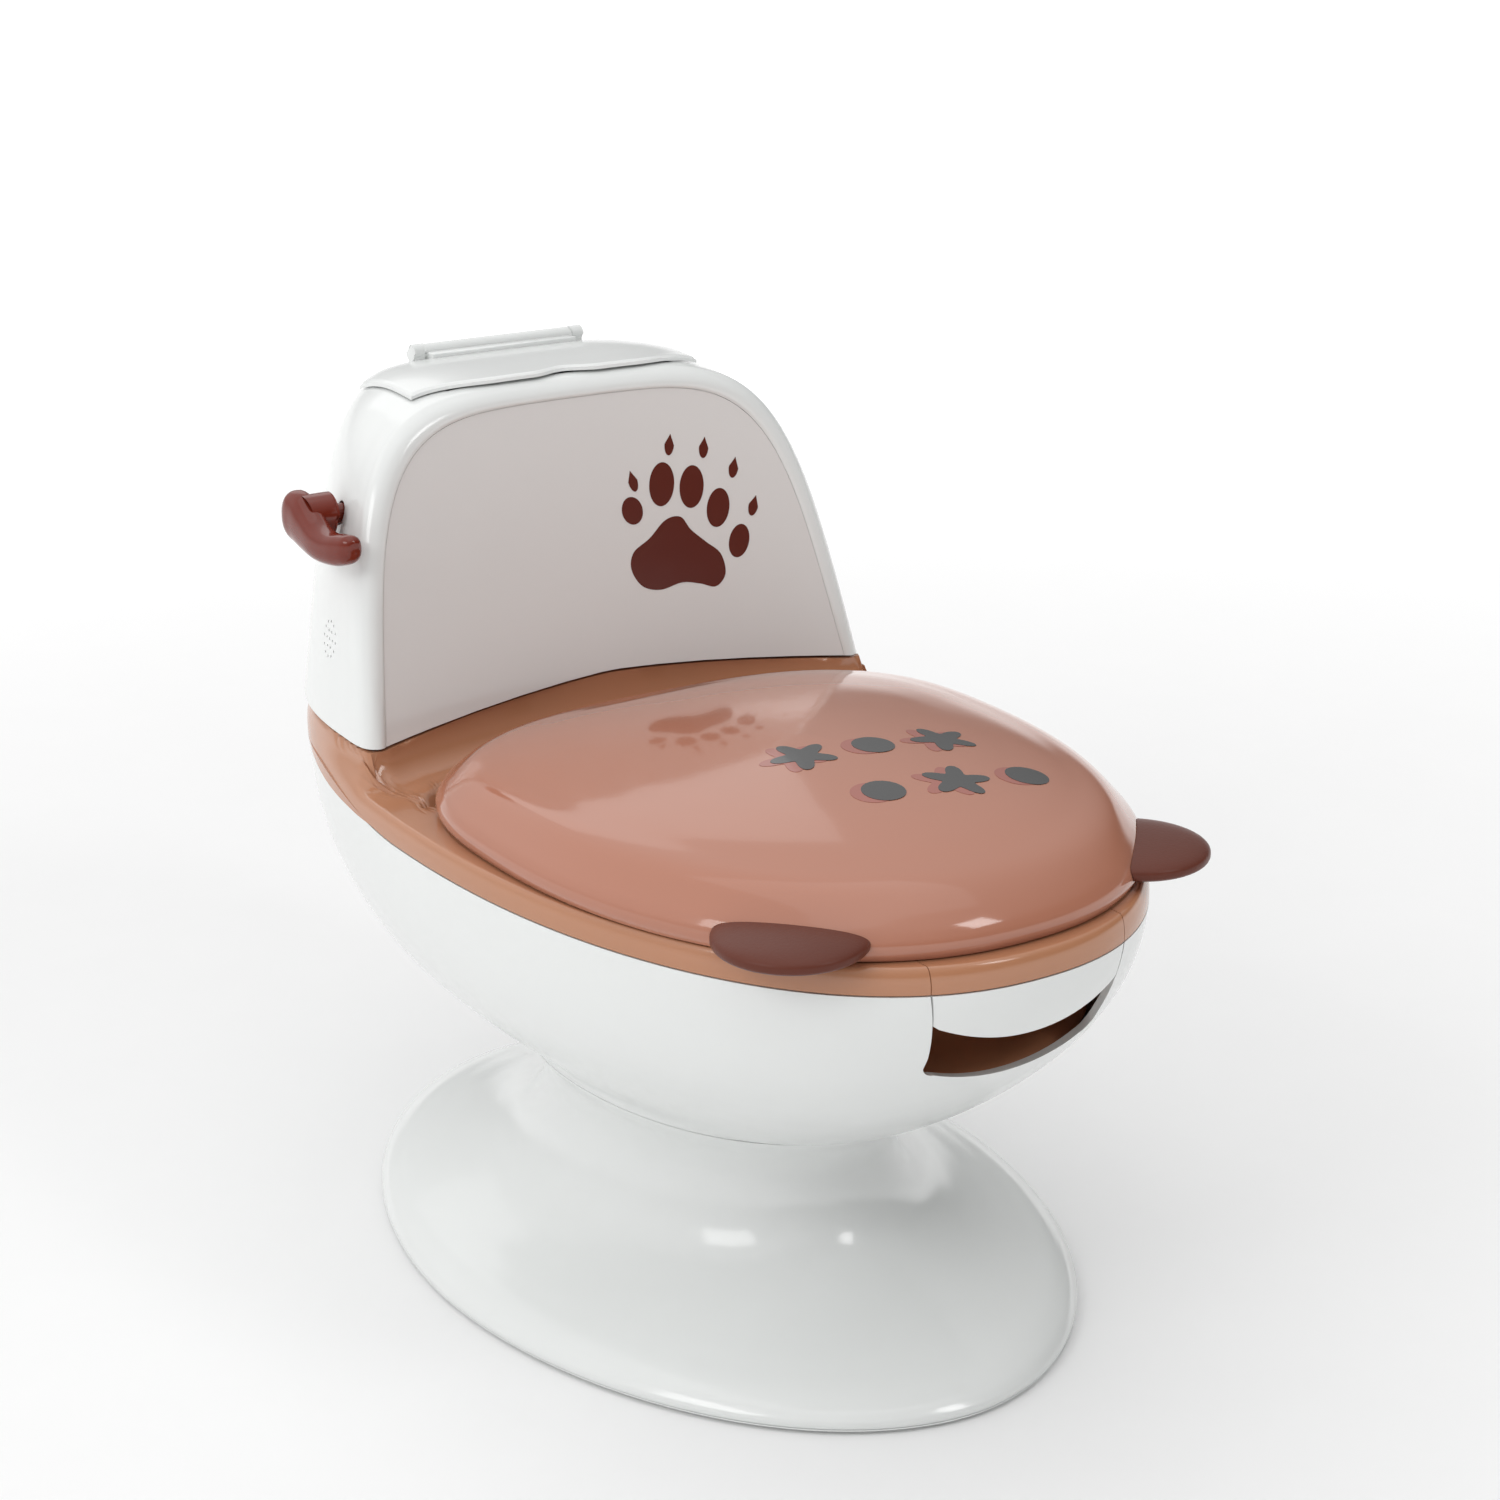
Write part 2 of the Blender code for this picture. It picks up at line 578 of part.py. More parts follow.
def tank_body_section(share):
    """Arch at a share of the way from the face's rim to the back."""
    section = []
    for x, z in arch(ARCH, 0.0, share):
        start = face_y(x, z) + RIM_DEPTH
        y = start + (TANK_PLAN[3] - start) * share
        wide, tall = tank_scale(y)
        x, z = x * wide, TANK_BOTTOM + (z - TANK_BOTTOM) * tall
        foot = face_edge(x)[1] + TANK_SEAT + REAR_LIFT * share ** 4
        section.append((x, y, lift_foot(x, z, foot)))
    return section


sections = [tank_section(RIM_WIDTH, RECESS, scale) for scale in (0.04, 0.35, 0.7, 1.0)]
sections += [tank_section(RIM_WIDTH, 0.0), tank_section(0.0060, -0.0008), tank_section(0.0030, 0.0004),
             tank_section(0.0010, 0.0030)]
sections += [tank_body_section(share) for share in
             (0, 0.1, 0.22, 0.36, 0.5, 0.64, 0.76, 0.86, 0.93, 0.97, 0.988)]
tank_skin = loft(sections, True, True, wrap=False)
door_skin = tank_skin.copy()
tank = shell(add("tank_shell", tank_skin, WHITE, 0.15))

boolean(tank, cutter("lever_hole", rod("x", (-0.100, *LEVER_AXIS), 0.0046, 0.030)))
DOOR = (0.0245, 0.2130, 0.2530)
boolean(tank, cutter("door_opening", box((-DOOR[0], 0.180, DOOR[1]), (DOOR[0], 0.205, DOOR[2]))))

LUG_X = 0.0362
LID_Y, LID_Z = TANK_LID_HINGE
for side, sign in (("left", -1), ("right", 1)):
    lug = rod("x", (sign * LUG_X, LID_Y, LID_Z), LUG_R, LUG_LENGTH)
    lug_foot = box((sign * LUG_X - 0.0022, LID_Y - 0.0032, 0.3165),
                   (sign * LUG_X + 0.0022, LID_Y + 0.0032, LID_Z))
    boolean(tank, cutter(f"lug_{side}", lug), "UNION")
    boolean(tank, cutter(f"lug_foot_{side}", lug_foot), "UNION")
boolean(tank, cutter("lug_bore", rod("x", (0, LID_Y, LID_Z), TANK_PIN_BORE_R, 0.080, 16)))
boolean(tank, cutter("store_mouth", box((-STORE_HALF, STORE_Y[0], 0.300), (STORE_HALF, STORE_Y[1], 0.340))))
door = shell(add("battery_door", door_skin, WHITE, 0.2))
door_block = box((-DOOR[0] + GAP, 0.181, DOOR[1] + GAP), (DOOR[0] - GAP, 0.206, DOOR[2] - GAP))
boolean(door, cutter("door_keep", door_block), "INTERSECT")
add("battery_door_screw", rod("y", (0, 0.1952, 0.2490), 0.0022, 0.0012, 16), STEEL, 0.3, 1.0, sharp=0.5)

PANEL = 0.0018
panel_front = [tank_section(RIM_WIDTH + 0.0004, 0.0001, scale) for scale in (0.04, 0.35, 0.7, 1.0)]
shell(add("tank_face_panel", loft(panel_front, True, wrap=False), WHITE, 0.12), PANEL)


# ---- tank lid with its barrel and pin ----
def roof_height(x, y):
    """Height of the tank's roof."""
    wide, tall = tank_scale(y)
    height = TANK_TOP - TANK_BOTTOM
    start = face_y(x, TANK_TOP) + RIM_DEPTH
    n, taper = arch_shape(max(0.0, y - start) / (TANK_PLAN[3] - start))
    rise = 1.0
    for _ in range(4):
        half = TANK_PLAN[0] - taper * height * rise
        rise = max(0.0, 1 - abs(x / wide / half) ** n) ** (1 / n)
    return lift_foot(x, TANK_BOTTOM + height * rise * tall, face_edge(x)[1] + TANK_SEAT)


def tank_lid_front(x):
    """Plan line of the tank lid's front edge, with the finger notch in the middle."""
    corner = 0.0075 * smooth((abs(x) - 0.030) / 0.035)
    notch_depth = 0.0035 * (1 - smooth(abs(x) / 0.014))
    return 0.1050 + corner + notch_depth


TANK_LID_REAR = 0.1575
TANK_LID_THICK = 0.0020
tank_lid_pivot = pivot("tank_lid_axis", *TANK_LID_HINGE)
columns, rows = 20, 5
lid_grid = []
for level in (0.0008, 0.0008 + TANK_LID_THICK):
    sheet = []
    for i in range(columns + 1):
        x = TANK_LID_HALF * (2 * i / columns - 1)
        start = tank_lid_front(x)
        line = [start + (TANK_LID_REAR - start) * j / rows for j in range(rows + 1)]
        sheet.append([(x, y, roof_height(x, y) + level) for y in line])
    lid_grid.append(sheet)
# each ring of the lid runs round one strip's section: along the top, back along the underside
lid_loops = [[*top, *bottom[::-1]] for bottom, top in zip(*lid_grid)]
tank_lid_skin = loft(lid_loops, True, True)
bmesh.ops.recalc_face_normals(tank_lid_skin, faces=tank_lid_skin.faces)
tank_lid = add("tank_lid", tank_lid_skin, WHITE, 0.15, parent=tank_lid_pivot)
BARREL_HALF = LUG_X - 0.0027
boolean(tank_lid, cutter("lid_barrel", rod("x", (0, LID_Y, LID_Z), BARREL_R, 2 * BARREL_HALF)), "UNION")
boolean(tank_lid, cutter("lid_web", box((-BARREL_HALF + 0.0004, 0.1550, 0.3251),
                                        (BARREL_HALF - 0.0004, 0.1620, 0.3276))), "UNION")
boolean(tank_lid, cutter("barrel_bore", rod("x", (0, LID_Y, LID_Z), TANK_PIN_BORE_R, 0.080, 16)))
tank_pin = rod("x", (0, LID_Y, LID_Z), TANK_PIN_R, 2 * LUG_X + 0.004, 16)
add("tank_lid_pin", tank_pin, STEEL, 0.25, 1.0, sharp=0.5)


# ---- storage bin under the tank lid ----
def rounded_box_ring(half_x, low_y, high_y, z, exponent=8):
    middle = (low_y + high_y) / 2
    plan = (half_x, middle, low_y, high_y, exponent, exponent)
    return [(x, y, z) for x, y in plan_points(plan, 32)]


bin_rings = [rounded_box_ring(0.0530, 0.1085, 0.1495, 0.2640),
             rounded_box_ring(0.0540, 0.1070, 0.1510, 0.2660),
             rounded_box_ring(0.0560, 0.1050, 0.1530, 0.3055)]
shell(add("storage_bin", loft(bin_rings, close_start=True), WHITE, 0.3), THIN_WALL)


# ---- flush lever and its works ----
LEVER_Y, LEVER_Z = LEVER_AXIS
lever_pivot = pivot("lever_axis", *LEVER_AXIS)
STEM_END = -0.1018


def lever_ring(y, centre_x, centre_z, half_x, half_z):
    """Rounded section across the handle."""
    ring = []
    for k in range(20):
        angle = 2 * math.pi * k / 20
        x = centre_x - half_x * power(math.cos(angle), 0.8)
        ring.append((x, y, centre_z + half_z * power(math.sin(angle), 0.8)))
    return ring


# the grip runs forwards from the stem: y, centre x, centre z, half depth in x, half height in z
GRIP = ((0.1215, -0.1100, 0.2815, 0.0045, 0.0060), (0.1195, -0.1098, 0.2815, 0.0066, 0.0085),
        (0.1120, -0.1098, 0.2812, 0.0074, 0.0098), (0.1020, -0.1106, 0.2802, 0.0065, 0.0092),
        (0.0930, -0.1112, 0.2792, 0.0056, 0.0082), (0.0850, -0.1114, 0.2784, 0.0049, 0.0072),
        (0.0775, -0.1112, 0.2780, 0.0040, 0.0058), (0.0745, -0.1110, 0.2778, 0.0022, 0.0036))
grip_skin = loft([lever_ring(*row) for row in GRIP], True, True)
lever = add("flush_lever", grip_skin, BROWN, 0.15, parent=lever_pivot)
stem_tip = LEVER_REACH + 0.006
stem = rod("x", ((STEM_END + stem_tip) / 2, LEVER_Y, LEVER_Z), STEM_R, STEM_END - stem_tip, 24)
boolean(lever, cutter("lever_stem", stem), "UNION")
shaft_start = STEM_END + GAP
shaft = rod("x", ((shaft_start + SHAFT_END) / 2, LEVER_Y, LEVER_Z), SHAFT_R, SHAFT_END - shaft_start, 20)
add("lever_shaft", shaft, BROWN, 0.3, parent=lever_pivot, sharp=0.5)
CAM_X = 0.0680
cam_disc = rod("x", (-CAM_X, LEVER_Y, LEVER_Z), 0.0045, 0.0050)
cam = add("lever_cam", cam_disc, BROWN, 0.3, parent=lever_pivot, sharp=0.5)
cam_nose = box((-CAM_X - 0.0024, LEVER_Y - 0.0085, LEVER_Z - 0.0020),
               (-CAM_X + 0.0024, LEVER_Y, LEVER_Z + 0.0020))
boolean(cam, cutter("cam_nose", cam_nose), "UNION")

PLUNGER_Y = LEVER_Y - 0.0060
add("switch_plunger", rod("z", (-CAM_X, PLUNGER_Y, 0.2712), 0.0012, 0.0146, 12), BLACK, 0.4,
    parent=pivot("plunger_axis", PLUNGER_Y, 0.2712), sharp=0.5)
switch_case = box((-CAM_X - 0.0045, 0.0985, 0.2560), (-CAM_X + 0.0045, 0.1135, 0.2700), 0.0006)
switch = add("lever_switch", switch_case, BLACK, 0.5, sharp=0.5)
boolean(switch, cutter("plunger_bore", rod("z", (-CAM_X, PLUNGER_Y, 0.2660), 0.0016, 0.0120, 16)))

COIL_TURNS = 4
COIL_R = 0.0058
COIL_SIDES = 10
coil = bpy.data.curves.new("lever_spring", "CURVE")
coil.dimensions = "3D"
coil.bevel_depth = 0.0005
coil.bevel_resolution = 1
coil.use_fill_caps = True
spline = coil.splines.new("POLY")
steps = COIL_TURNS * COIL_SIDES
spline.points.add(steps)
for k in range(steps + 1):
    angle = 2 * math.pi * k / COIL_SIDES
    spline.points[k].co = (-0.0900 + 0.0140 * k / steps, LEVER_Y + COIL_R * math.cos(angle),
                           LEVER_Z + COIL_R * math.sin(angle), 1)
spring = bpy.data.objects.new("lever_spring", coil)
spring.parent = datum
coil.materials.append(material("lever_spring", STEEL, 0.3, 1.0))
PARTS.objects.link(spring)


# ---- sound module and batteries ----
add("sound_module", box((-0.0940, 0.0870, 0.2130), (-0.0730, 0.1290, 0.2540), 0.0015), WHITE, 0.4, sharp=0.5)
add("speaker", rod("x", (-0.0963, 0.1060, 0.2340), 0.0150, 0.0042, 28, 0.0125), BLACK, 0.5, sharp=0.5)
add("circuit_board", box((-0.0724, 0.0890, 0.2150), (-0.0708, 0.1270, 0.2520)), GREEN, 0.5, sharp=0.5)
holder_case = box((-0.0290, 0.1640, 0.2125), (0.0290, 0.1880, 0.2535))
holder = add("battery_holder", holder_case, BLACK, 0.5, sharp=0.5)
boolean(holder, cutter("battery_bay", box((-0.0270, 0.1660, 0.2145), (0.0270, 0.1900, 0.2515))))
for number, z in enumerate((0.2240, 0.2420), 1):
    add(f"battery_{number}", rod("x", (0, 0.1765, z), 0.0070, 0.0490, 20), GREEN, 0.3, sharp=0.5)
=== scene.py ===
"""Looks of the toddler potty chair: fine surfaces, moulded plastic materials, studio light and camera.

Shapes repeat the part's own formulas at a finer step. Heights are counted from the part's datum plane,
2.5 mm under the floor, and DATUM_Z shifts them into the frame when a piece is made.
"""

import json
import math

import bmesh
import bpy
import numpy as np
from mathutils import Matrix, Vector
from mathutils.bvhtree import BVHTree


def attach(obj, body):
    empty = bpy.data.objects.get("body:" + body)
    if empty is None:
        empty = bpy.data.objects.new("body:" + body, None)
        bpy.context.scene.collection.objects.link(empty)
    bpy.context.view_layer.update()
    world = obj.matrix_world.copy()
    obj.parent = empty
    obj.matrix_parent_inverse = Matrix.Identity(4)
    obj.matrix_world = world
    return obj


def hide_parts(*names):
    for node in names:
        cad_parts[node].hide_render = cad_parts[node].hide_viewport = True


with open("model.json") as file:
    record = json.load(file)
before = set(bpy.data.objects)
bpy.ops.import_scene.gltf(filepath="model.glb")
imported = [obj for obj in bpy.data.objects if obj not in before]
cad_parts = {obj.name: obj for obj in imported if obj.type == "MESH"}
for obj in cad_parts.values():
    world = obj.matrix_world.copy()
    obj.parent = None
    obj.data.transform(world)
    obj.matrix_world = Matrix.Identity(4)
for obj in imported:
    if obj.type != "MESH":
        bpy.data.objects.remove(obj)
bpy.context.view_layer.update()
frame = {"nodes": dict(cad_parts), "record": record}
NODES = frame["nodes"]

# ---- driving dimensions of the part, metres ----
DATUM_Z = -0.0025
GAP = 0.0003
WALL = 0.0026
THIN_WALL = 0.0020

# outlines seen from above: half width, middle, front, rear, and the squareness in front and behind
DECK_PLAN = (0.1235, 0.015, -0.200, 0.200, 2.2, 2.5)
BASE_PLAN = (0.1223, 0.000, -0.1752, 0.1740, 1.91, 1.91)
NECK_PLAN = (0.068, 0.000, -0.104, 0.097, 2.0, 2.0)
WAIST_PLAN = (0.057, 0.000, -0.090, 0.088, 2.0, 2.0)
LID_PLAN = (0.1155, -0.031, -0.1927, 0.0612, 2.2, 2.8)
SEAT_PLAN = (0.066, -0.062, -0.150, 0.026, 2.1, 2.1)
TANK_PLAN = (0.1136, 0.065, 0.062, 0.1953, 2.5, 2.66)

BOWL_BOTTOM = 0.0820
BOWL_TOP = 0.1794
BOWL_SIDE_BULGE = (3.2, 1.6)
BOWL_FRONT_BULGE = (1.77, 0.87)
BOWL_REAR_BULGE = (3.6, 0.55)
DECK_BOTTOM = 0.1800
DECK_TOP = 0.1890
SEAT_WELL = 0.1830
REAR_RISE = 0.0090
COVE = 0.0120
WELL_REAR_FROM = 0.030
WELL_END = 0.0635
WELL_FRONT_LIMIT = 0.93      # the well's edge, as a share of the lid's outline
WELL_REAR_LIMIT = 1.07
WELL_BLEND = 0.06
CLIMB_FROM = 0.020           # the deck climbs to the rear from here, over this run
CLIMB_RUN = 0.090
SEAM_HALF = 0.0400

LID_BOTTOM = 0.1895
LID_CENTRE = -0.062
LID_WALL = 0.0022
POST_X = 0.0300

TANK_BOTTOM = 0.1990
TANK_TOP = 0.3243
TANK_TAPER = (0.142, 0.165)  # at the face and at the back, as for TANK_ROUND
TANK_ROUND = (4.66, 6.1)
TANK_FILL = 0.36
TANK_SHOULDER = 0.1008
ROOF_ROUND = 5.66
TANK_SEAT = 0.0012
REAR_LIFT = 0.0012
FACE_FOOT = 0.0628
FACE_LEAN = 0.2586
FACE_HALF = 0.108
FACE_DISH = 0.0121
DISH_LOSS = 0.5              # share of the dish that is lost over DISH_HEIGHT
DISH_HEIGHT = 0.12
FOOT_HALF = 0.105            # the tank's foot on the deck: half width, front edge and height
FOOT_FRONT = (0.0755, 0.0130, 2.5)
FOOT_HEIGHT = (0.2010, 0.0090, 1.3)
RIM_WIDTH = 0.0085
RIM_DEPTH = 0.0080
RECESS = 0.0022

TANK_LID_HINGE = (0.1630, 0.3275)
TANK_LID_HALF = 0.0645
TANK_LID_REAR = 0.1575
LEVER_AXIS = (0.1120, 0.2810)
DOOR = (0.0245, 0.2130, 0.2530)          # battery door: half width, lower and upper edge
SPEAKER = (0.1060, 0.2340)

# ---- camera, as the part is seen in use ----
CAMERA_AT = (-0.54600, -0.85573, 0.55098)
CAMERA_AZIMUTH = math.radians(-33.32)
CAMERA_ELEVATION = math.radians(19.234)
CAMERA_LENS = 68.4

ROUND = 256                  # points round the large plan outlines
STEPS = 7                    # fine rings laid between two of the part's rings
ARCH_STEPS = 120             # spans along the tank's arch
BEVEL_STEPS = 3
ROOF_PASSES = 6              # rounds that settle the height of the tank's roof


# ---- mesh helpers ----
def refine(rings, steps=STEPS):
    """Lay smooth rings between the given ones: a Hermite curve through each row of points."""
    rings = np.array(rings, dtype=float)
    gaps = np.linalg.norm(np.diff(rings, axis=0), axis=2).mean(axis=1)
    slopes = np.diff(rings, axis=0) / gaps[:, None, None]
    tangents = np.empty_like(rings)
    tangents[0], tangents[-1] = slopes[0], slopes[-1]
    before, after = gaps[:-1, None, None], gaps[1:, None, None]
    tangents[1:-1] = (slopes[:-1] * after + slopes[1:] * before) / (before + after)
    fine = []
    for i, gap in enumerate(gaps):
        for t in np.arange(steps) / steps:
            fine.append((2 * t**3 - 3 * t**2 + 1) * rings[i] + (t**3 - 2 * t**2 + t) * gap * tangents[i]
                        + (3 * t**2 - 2 * t**3) * rings[i + 1] + (t**3 - t**2) * gap * tangents[i + 1])
    fine.append(rings[-1])
    return fine


def skin(rings, close_start=False, close_end=False, wrap=True, tube=False):
    """Vertices and faces of a loft; tube joins the last ring to the first."""
    count = len(rings[0])
    verts = [tuple(p) for ring in rings for p in ring]
    faces = []
    spans = len(rings) if tube else len(rings) - 1
    for k in range(spans):
        low, high = k * count, (k + 1) % len(rings) * count
        for i in range(count if wrap else count - 1):
            j = (i + 1) % count
            faces.append((low + i, low + j, high + j, high + i))
    if close_start:
        faces.append(tuple(range(count))[::-1])
    if close_end:
        top = (len(rings) - 1) * count
        faces.append(tuple(range(top, top + count)))
    return verts, faces


def to_object(name, verts, faces):
    mesh = bpy.data.meshes.new(name)
    mesh.from_pydata([(x, y, z + DATUM_Z) for x, y, z in verts], [], faces)
    mesh.validate()
    obj = bpy.data.objects.new(name, mesh)
    bpy.context.scene.collection.objects.link(obj)
    return obj


def from_bmesh(name, bm):
    bm.verts.ensure_lookup_table()
    bmesh.ops.recalc_face_normals(bm, faces=bm.faces)
    verts = [tuple(v.co) for v in bm.verts]
    faces = [tuple(v.index for v in f.verts) for f in bm.faces]
    bm.free()
    return to_object(name, verts, faces)


def merged(bms):
    """One bmesh from several closed ones."""
    whole = bmesh.new()
    for bm in bms:
        mesh = bpy.data.meshes.new("merge")
        bm.to_mesh(mesh)
        bm.free()
        whole.from_mesh(mesh)
        bpy.data.meshes.remove(mesh)
    whole.verts.index_update()
    return whole


def bevelled(bm, edges, width):
    if width:
        bmesh.ops.bevel(bm, geom=edges, offset=width, segments=BEVEL_STEPS, profile=0.5, affect="EDGES")
    return bm


def box(low, high, bevel=0.0):
    bm = bmesh.new()
    bmesh.ops.create_cube(bm, size=1.0)
    for v in bm.verts:
        v.co = [(a + b) / 2 + c * (b - a) for a, b, c in zip(low, high, v.co)]
    return bevelled(bm, bm.edges[:], bevel)


def rod(centre, radius, length, sides=64, bevel=0.0):
    """Closed round rod along x."""
    bm = bmesh.new()
    bmesh.ops.create_cone(bm, cap_ends=True, segments=sides, radius1=radius, radius2=radius, depth=length)
    for v in bm.verts:
        v.co = [a + b for a, b in zip(centre, (v.co.z, v.co.x, v.co.y))]
    rims = [e for e in bm.edges if any(len(f.verts) > 4 for f in e.link_faces)]
    return bevelled(bm, rims, bevel)


def prism(outline, axis, low, high):
    """Closed prism of an outline in the two other coordinates."""
    order = {"y": lambda u, v, w: (u, w, v), "z": lambda u, v, w: (u, v, w)}[axis]
    return solid(*skin([[order(u, v, level) for u, v in outline] for level in (low, high)], True, True))


def solid(verts, faces):
    """Closed bmesh whose faces all look outwards, ready for a Boolean."""
    bm = bmesh.new()
    points = [bm.verts.new(v) for v in verts]
    for face in faces:
        bm.faces.new([points[i] for i in face])
    bmesh.ops.recalc_face_normals(bm, faces=bm.faces)
    return bm


def wall(obj, thickness):
    mod = obj.modifiers.new("wall", "SOLIDIFY")
    mod.thickness = thickness
    mod.offset = -1
    mod.use_even_offset = True


def cut(obj, bm, operation="DIFFERENCE"):
    tool = from_bmesh("tool", bm)
    mod = obj.modifiers.new("cut", "BOOLEAN")
    mod.operation = operation
    mod.object = tool
    mod.solver = "EXACT"


def settle(obj, sharp=0.6):
    """Replace the object's mesh by its evaluated one, drop its tools and shade it smooth."""
    tools = [m.object for m in obj.modifiers if m.type == "BOOLEAN"]
    bpy.context.view_layer.update()
    graph = bpy.context.evaluated_depsgraph_get()
    mesh = bpy.data.meshes.new_from_object(obj.evaluated_get(graph))
    if not mesh.polygons:
        raise ValueError(f"{obj.name}: a modifier left nothing")
    obj.modifiers.clear()
    obj.data = mesh
    mesh.shade_smooth()
    mesh.set_sharp_from_angle(angle=sharp)
    for tool in tools:
        bpy.data.objects.remove(tool, do_unlink=True)
    return obj


# ---- shape functions, as in the part ----
def smooth(t):
    t = min(1.0, max(0.0, t))
    return t * t * (3 - 2 * t)


def power(value, exponent):
    return math.copysign(abs(value) ** exponent, value)


def plan_points(plan, inset=0.0):
    half, middle, front, rear, n_front, n_rear = plan
    points = []
    for i in range(ROUND):
        angle = 2 * math.pi * i / ROUND
        c, s = math.cos(angle), math.sin(angle)
        n = n_front if s < 0 else n_rear
        reach = middle - front if s < 0 else rear - middle
        points.append(((half - inset) * power(c, 2 / n), middle + (reach - inset) * power(s, 2 / n)))
    return points


def plan_level(plan, x, y):
    half, middle, front, rear, n_front, n_rear = plan
    n = n_front if y < middle else n_rear
    reach = middle - front if y < middle else rear - middle
    return (abs(x / half) ** n + abs((y - middle) / reach) ** n) ** (1 / n)


def mix_plans(low, high, t):
    return tuple(a + (b - a) * t for a, b in zip(low, high))


def deck_climb(y):
    return REAR_RISE * smooth((y - CLIMB_FROM) / CLIMB_RUN)


def face_edge(x):
    """Front edge and height of the tank's foot on the deck."""
    u = min(1.0, abs(x) / FOOT_HALF)
    front, sweep, sweep_power = FOOT_FRONT
    height, crown, crown_power = FOOT_HEIGHT
    return front - sweep * u ** sweep_power, height + crown * (1 - u ** crown_power)


def tank_distance(x, y):
    middle = TANK_PLAN[1]
    back = max(y, middle)
    outside = (plan_level(TANK_PLAN, x, back) - 1) * math.hypot(x, back - middle)
    return math.hypot(max(0.0, face_edge(x)[0] - y), max(0.0, outside))


def deck_height(x, y):
    u = min(1.0, tank_distance(x, y) / COVE)
    rise = (face_edge(x)[1] - DECK_TOP) * (1 - math.sqrt(max(0.0, 1 - (1 - u) ** 2)))
    well_limit = WELL_REAR_LIMIT if y > WELL_REAR_FROM else WELL_FRONT_LIMIT
    well = smooth((well_limit - plan_level(LID_PLAN, x, y)) / WELL_BLEND) if y < WELL_END else 0.0
    return DECK_TOP + rise - (DECK_TOP - SEAT_WELL) * well


def bulge(t, powers):
    return (1 - (1 - t) ** powers[0]) ** powers[1]


def bowl_ring(t):
    side, front, rear = [bulge(t, powers) for powers in (BOWL_SIDE_BULGE, BOWL_FRONT_BULGE, BOWL_REAR_BULGE)]
    half = NECK_PLAN[0] + (DECK_PLAN[0] - NECK_PLAN[0]) * side
    front_y = NECK_PLAN[2] + (DECK_PLAN[2] - NECK_PLAN[2]) * front
    rear_y = NECK_PLAN[3] + (DECK_PLAN[3] - NECK_PLAN[3]) * rear
    n_front, n_rear = [2.0 + (n - 2.0) * t for n in DECK_PLAN[4:]]
    points = plan_points((half, DECK_PLAN[1] * t, front_y, rear_y, n_front, n_rear))
    level = BOWL_BOTTOM + (BOWL_TOP - BOWL_BOTTOM) * t
    return [(x, y, level + t * deck_climb(y)) for x, y in points]


def arch_shape(share):
    blend = smooth(share / TANK_FILL)
    return [front + (back - front) * blend for front, back in (TANK_ROUND, TANK_TAPER)]


def arch(inset=0.0, share=0.0):
    points = []
    height = TANK_TOP - TANK_BOTTOM
    n, taper = arch_shape(share)
    for i in range(ARCH_STEPS + 1):
        angle = math.pi * i / ARCH_STEPS
        c, s = math.cos(angle), abs(math.sin(angle))
        reach = (abs(c) ** n + s ** n) ** (-1 / n)
        half = TANK_PLAN[0] - taper * height * reach * s
        points.append((-(half - inset) * reach * c, TANK_BOTTOM + (height - inset) * reach * s))
    return points


def face_y(x, z):
    dish = FACE_DISH * (1 - DISH_LOSS * (z - TANK_BOTTOM) / DISH_HEIGHT)
    return FACE_FOOT + FACE_LEAN * (z - TANK_BOTTOM) + dish * (1 - min(1.0, abs(x) / FACE_HALF) ** 2)


def lift_foot(x, z, foot):
    fade = 1 - (z - TANK_BOTTOM) / (TANK_TOP - TANK_BOTTOM)
    return z + (foot - TANK_BOTTOM) * fade


def tank_scale(y):
    _, middle, _, rear, _, n = TANK_PLAN
    back = min(1.0, max(0.0, (y - middle) / (rear - middle)))
    roof = min(1.0, max(0.0, (y - TANK_SHOULDER) / (rear - TANK_SHOULDER)))
    return (1 - back ** n) ** (1 / n), (1 - roof ** ROOF_ROUND) ** (1 / ROOF_ROUND)


def tank_section(inset, depth, scale=1.0):
    section = []
    for x, z in arch(inset):
        x, z = x * scale, TANK_BOTTOM + (z - TANK_BOTTOM) * scale
        section.append((x, face_y(x, z) + depth, lift_foot(x, z, face_edge(x)[1] + TANK_SEAT)))
    return section


def tank_body_section(share):
    section = []
    for x, z in arch(0.0, share):
        start = face_y(x, z) + RIM_DEPTH
        y = start + (TANK_PLAN[3] - start) * share
        wide, tall = tank_scale(y)
        x, z = x * wide, TANK_BOTTOM + (z - TANK_BOTTOM) * tall
        foot = face_edge(x)[1] + TANK_SEAT + REAR_LIFT * share ** 4
        section.append((x, y, lift_foot(x, z, foot)))
    return section


def roof_height(x, y):
    wide, tall = tank_scale(y)
    height = TANK_TOP - TANK_BOTTOM
    start = face_y(x, TANK_TOP) + RIM_DEPTH
    n, taper = arch_shape(max(0.0, y - start) / (TANK_PLAN[3] - start))
    rise = 1.0
    for _ in range(ROOF_PASSES):
        half = TANK_PLAN[0] - taper * height * rise
        rise = max(0.0, 1 - abs(x / wide / half) ** n) ** (1 / n)
    return lift_foot(x, TANK_BOTTOM + height * rise * tall, face_edge(x)[1] + TANK_SEAT)


# ---- materials ----
MIX_A, MIX_B, MIX_RESULT = 6, 7, 2       # colour sockets of a Mix node
COAT_ROUGHNESS = 0.04
GLOSS_SPREAD = 0.03          # how far the roughness strays either way
GLOSS_FLOOR = 0.02


def node(tree, kind, **values):
    made = tree.nodes.new(kind)
    for key, value in values.items():
        if key in made.inputs:
            made.inputs[key].default_value = value
        else:
            setattr(made, key, value)
    return made


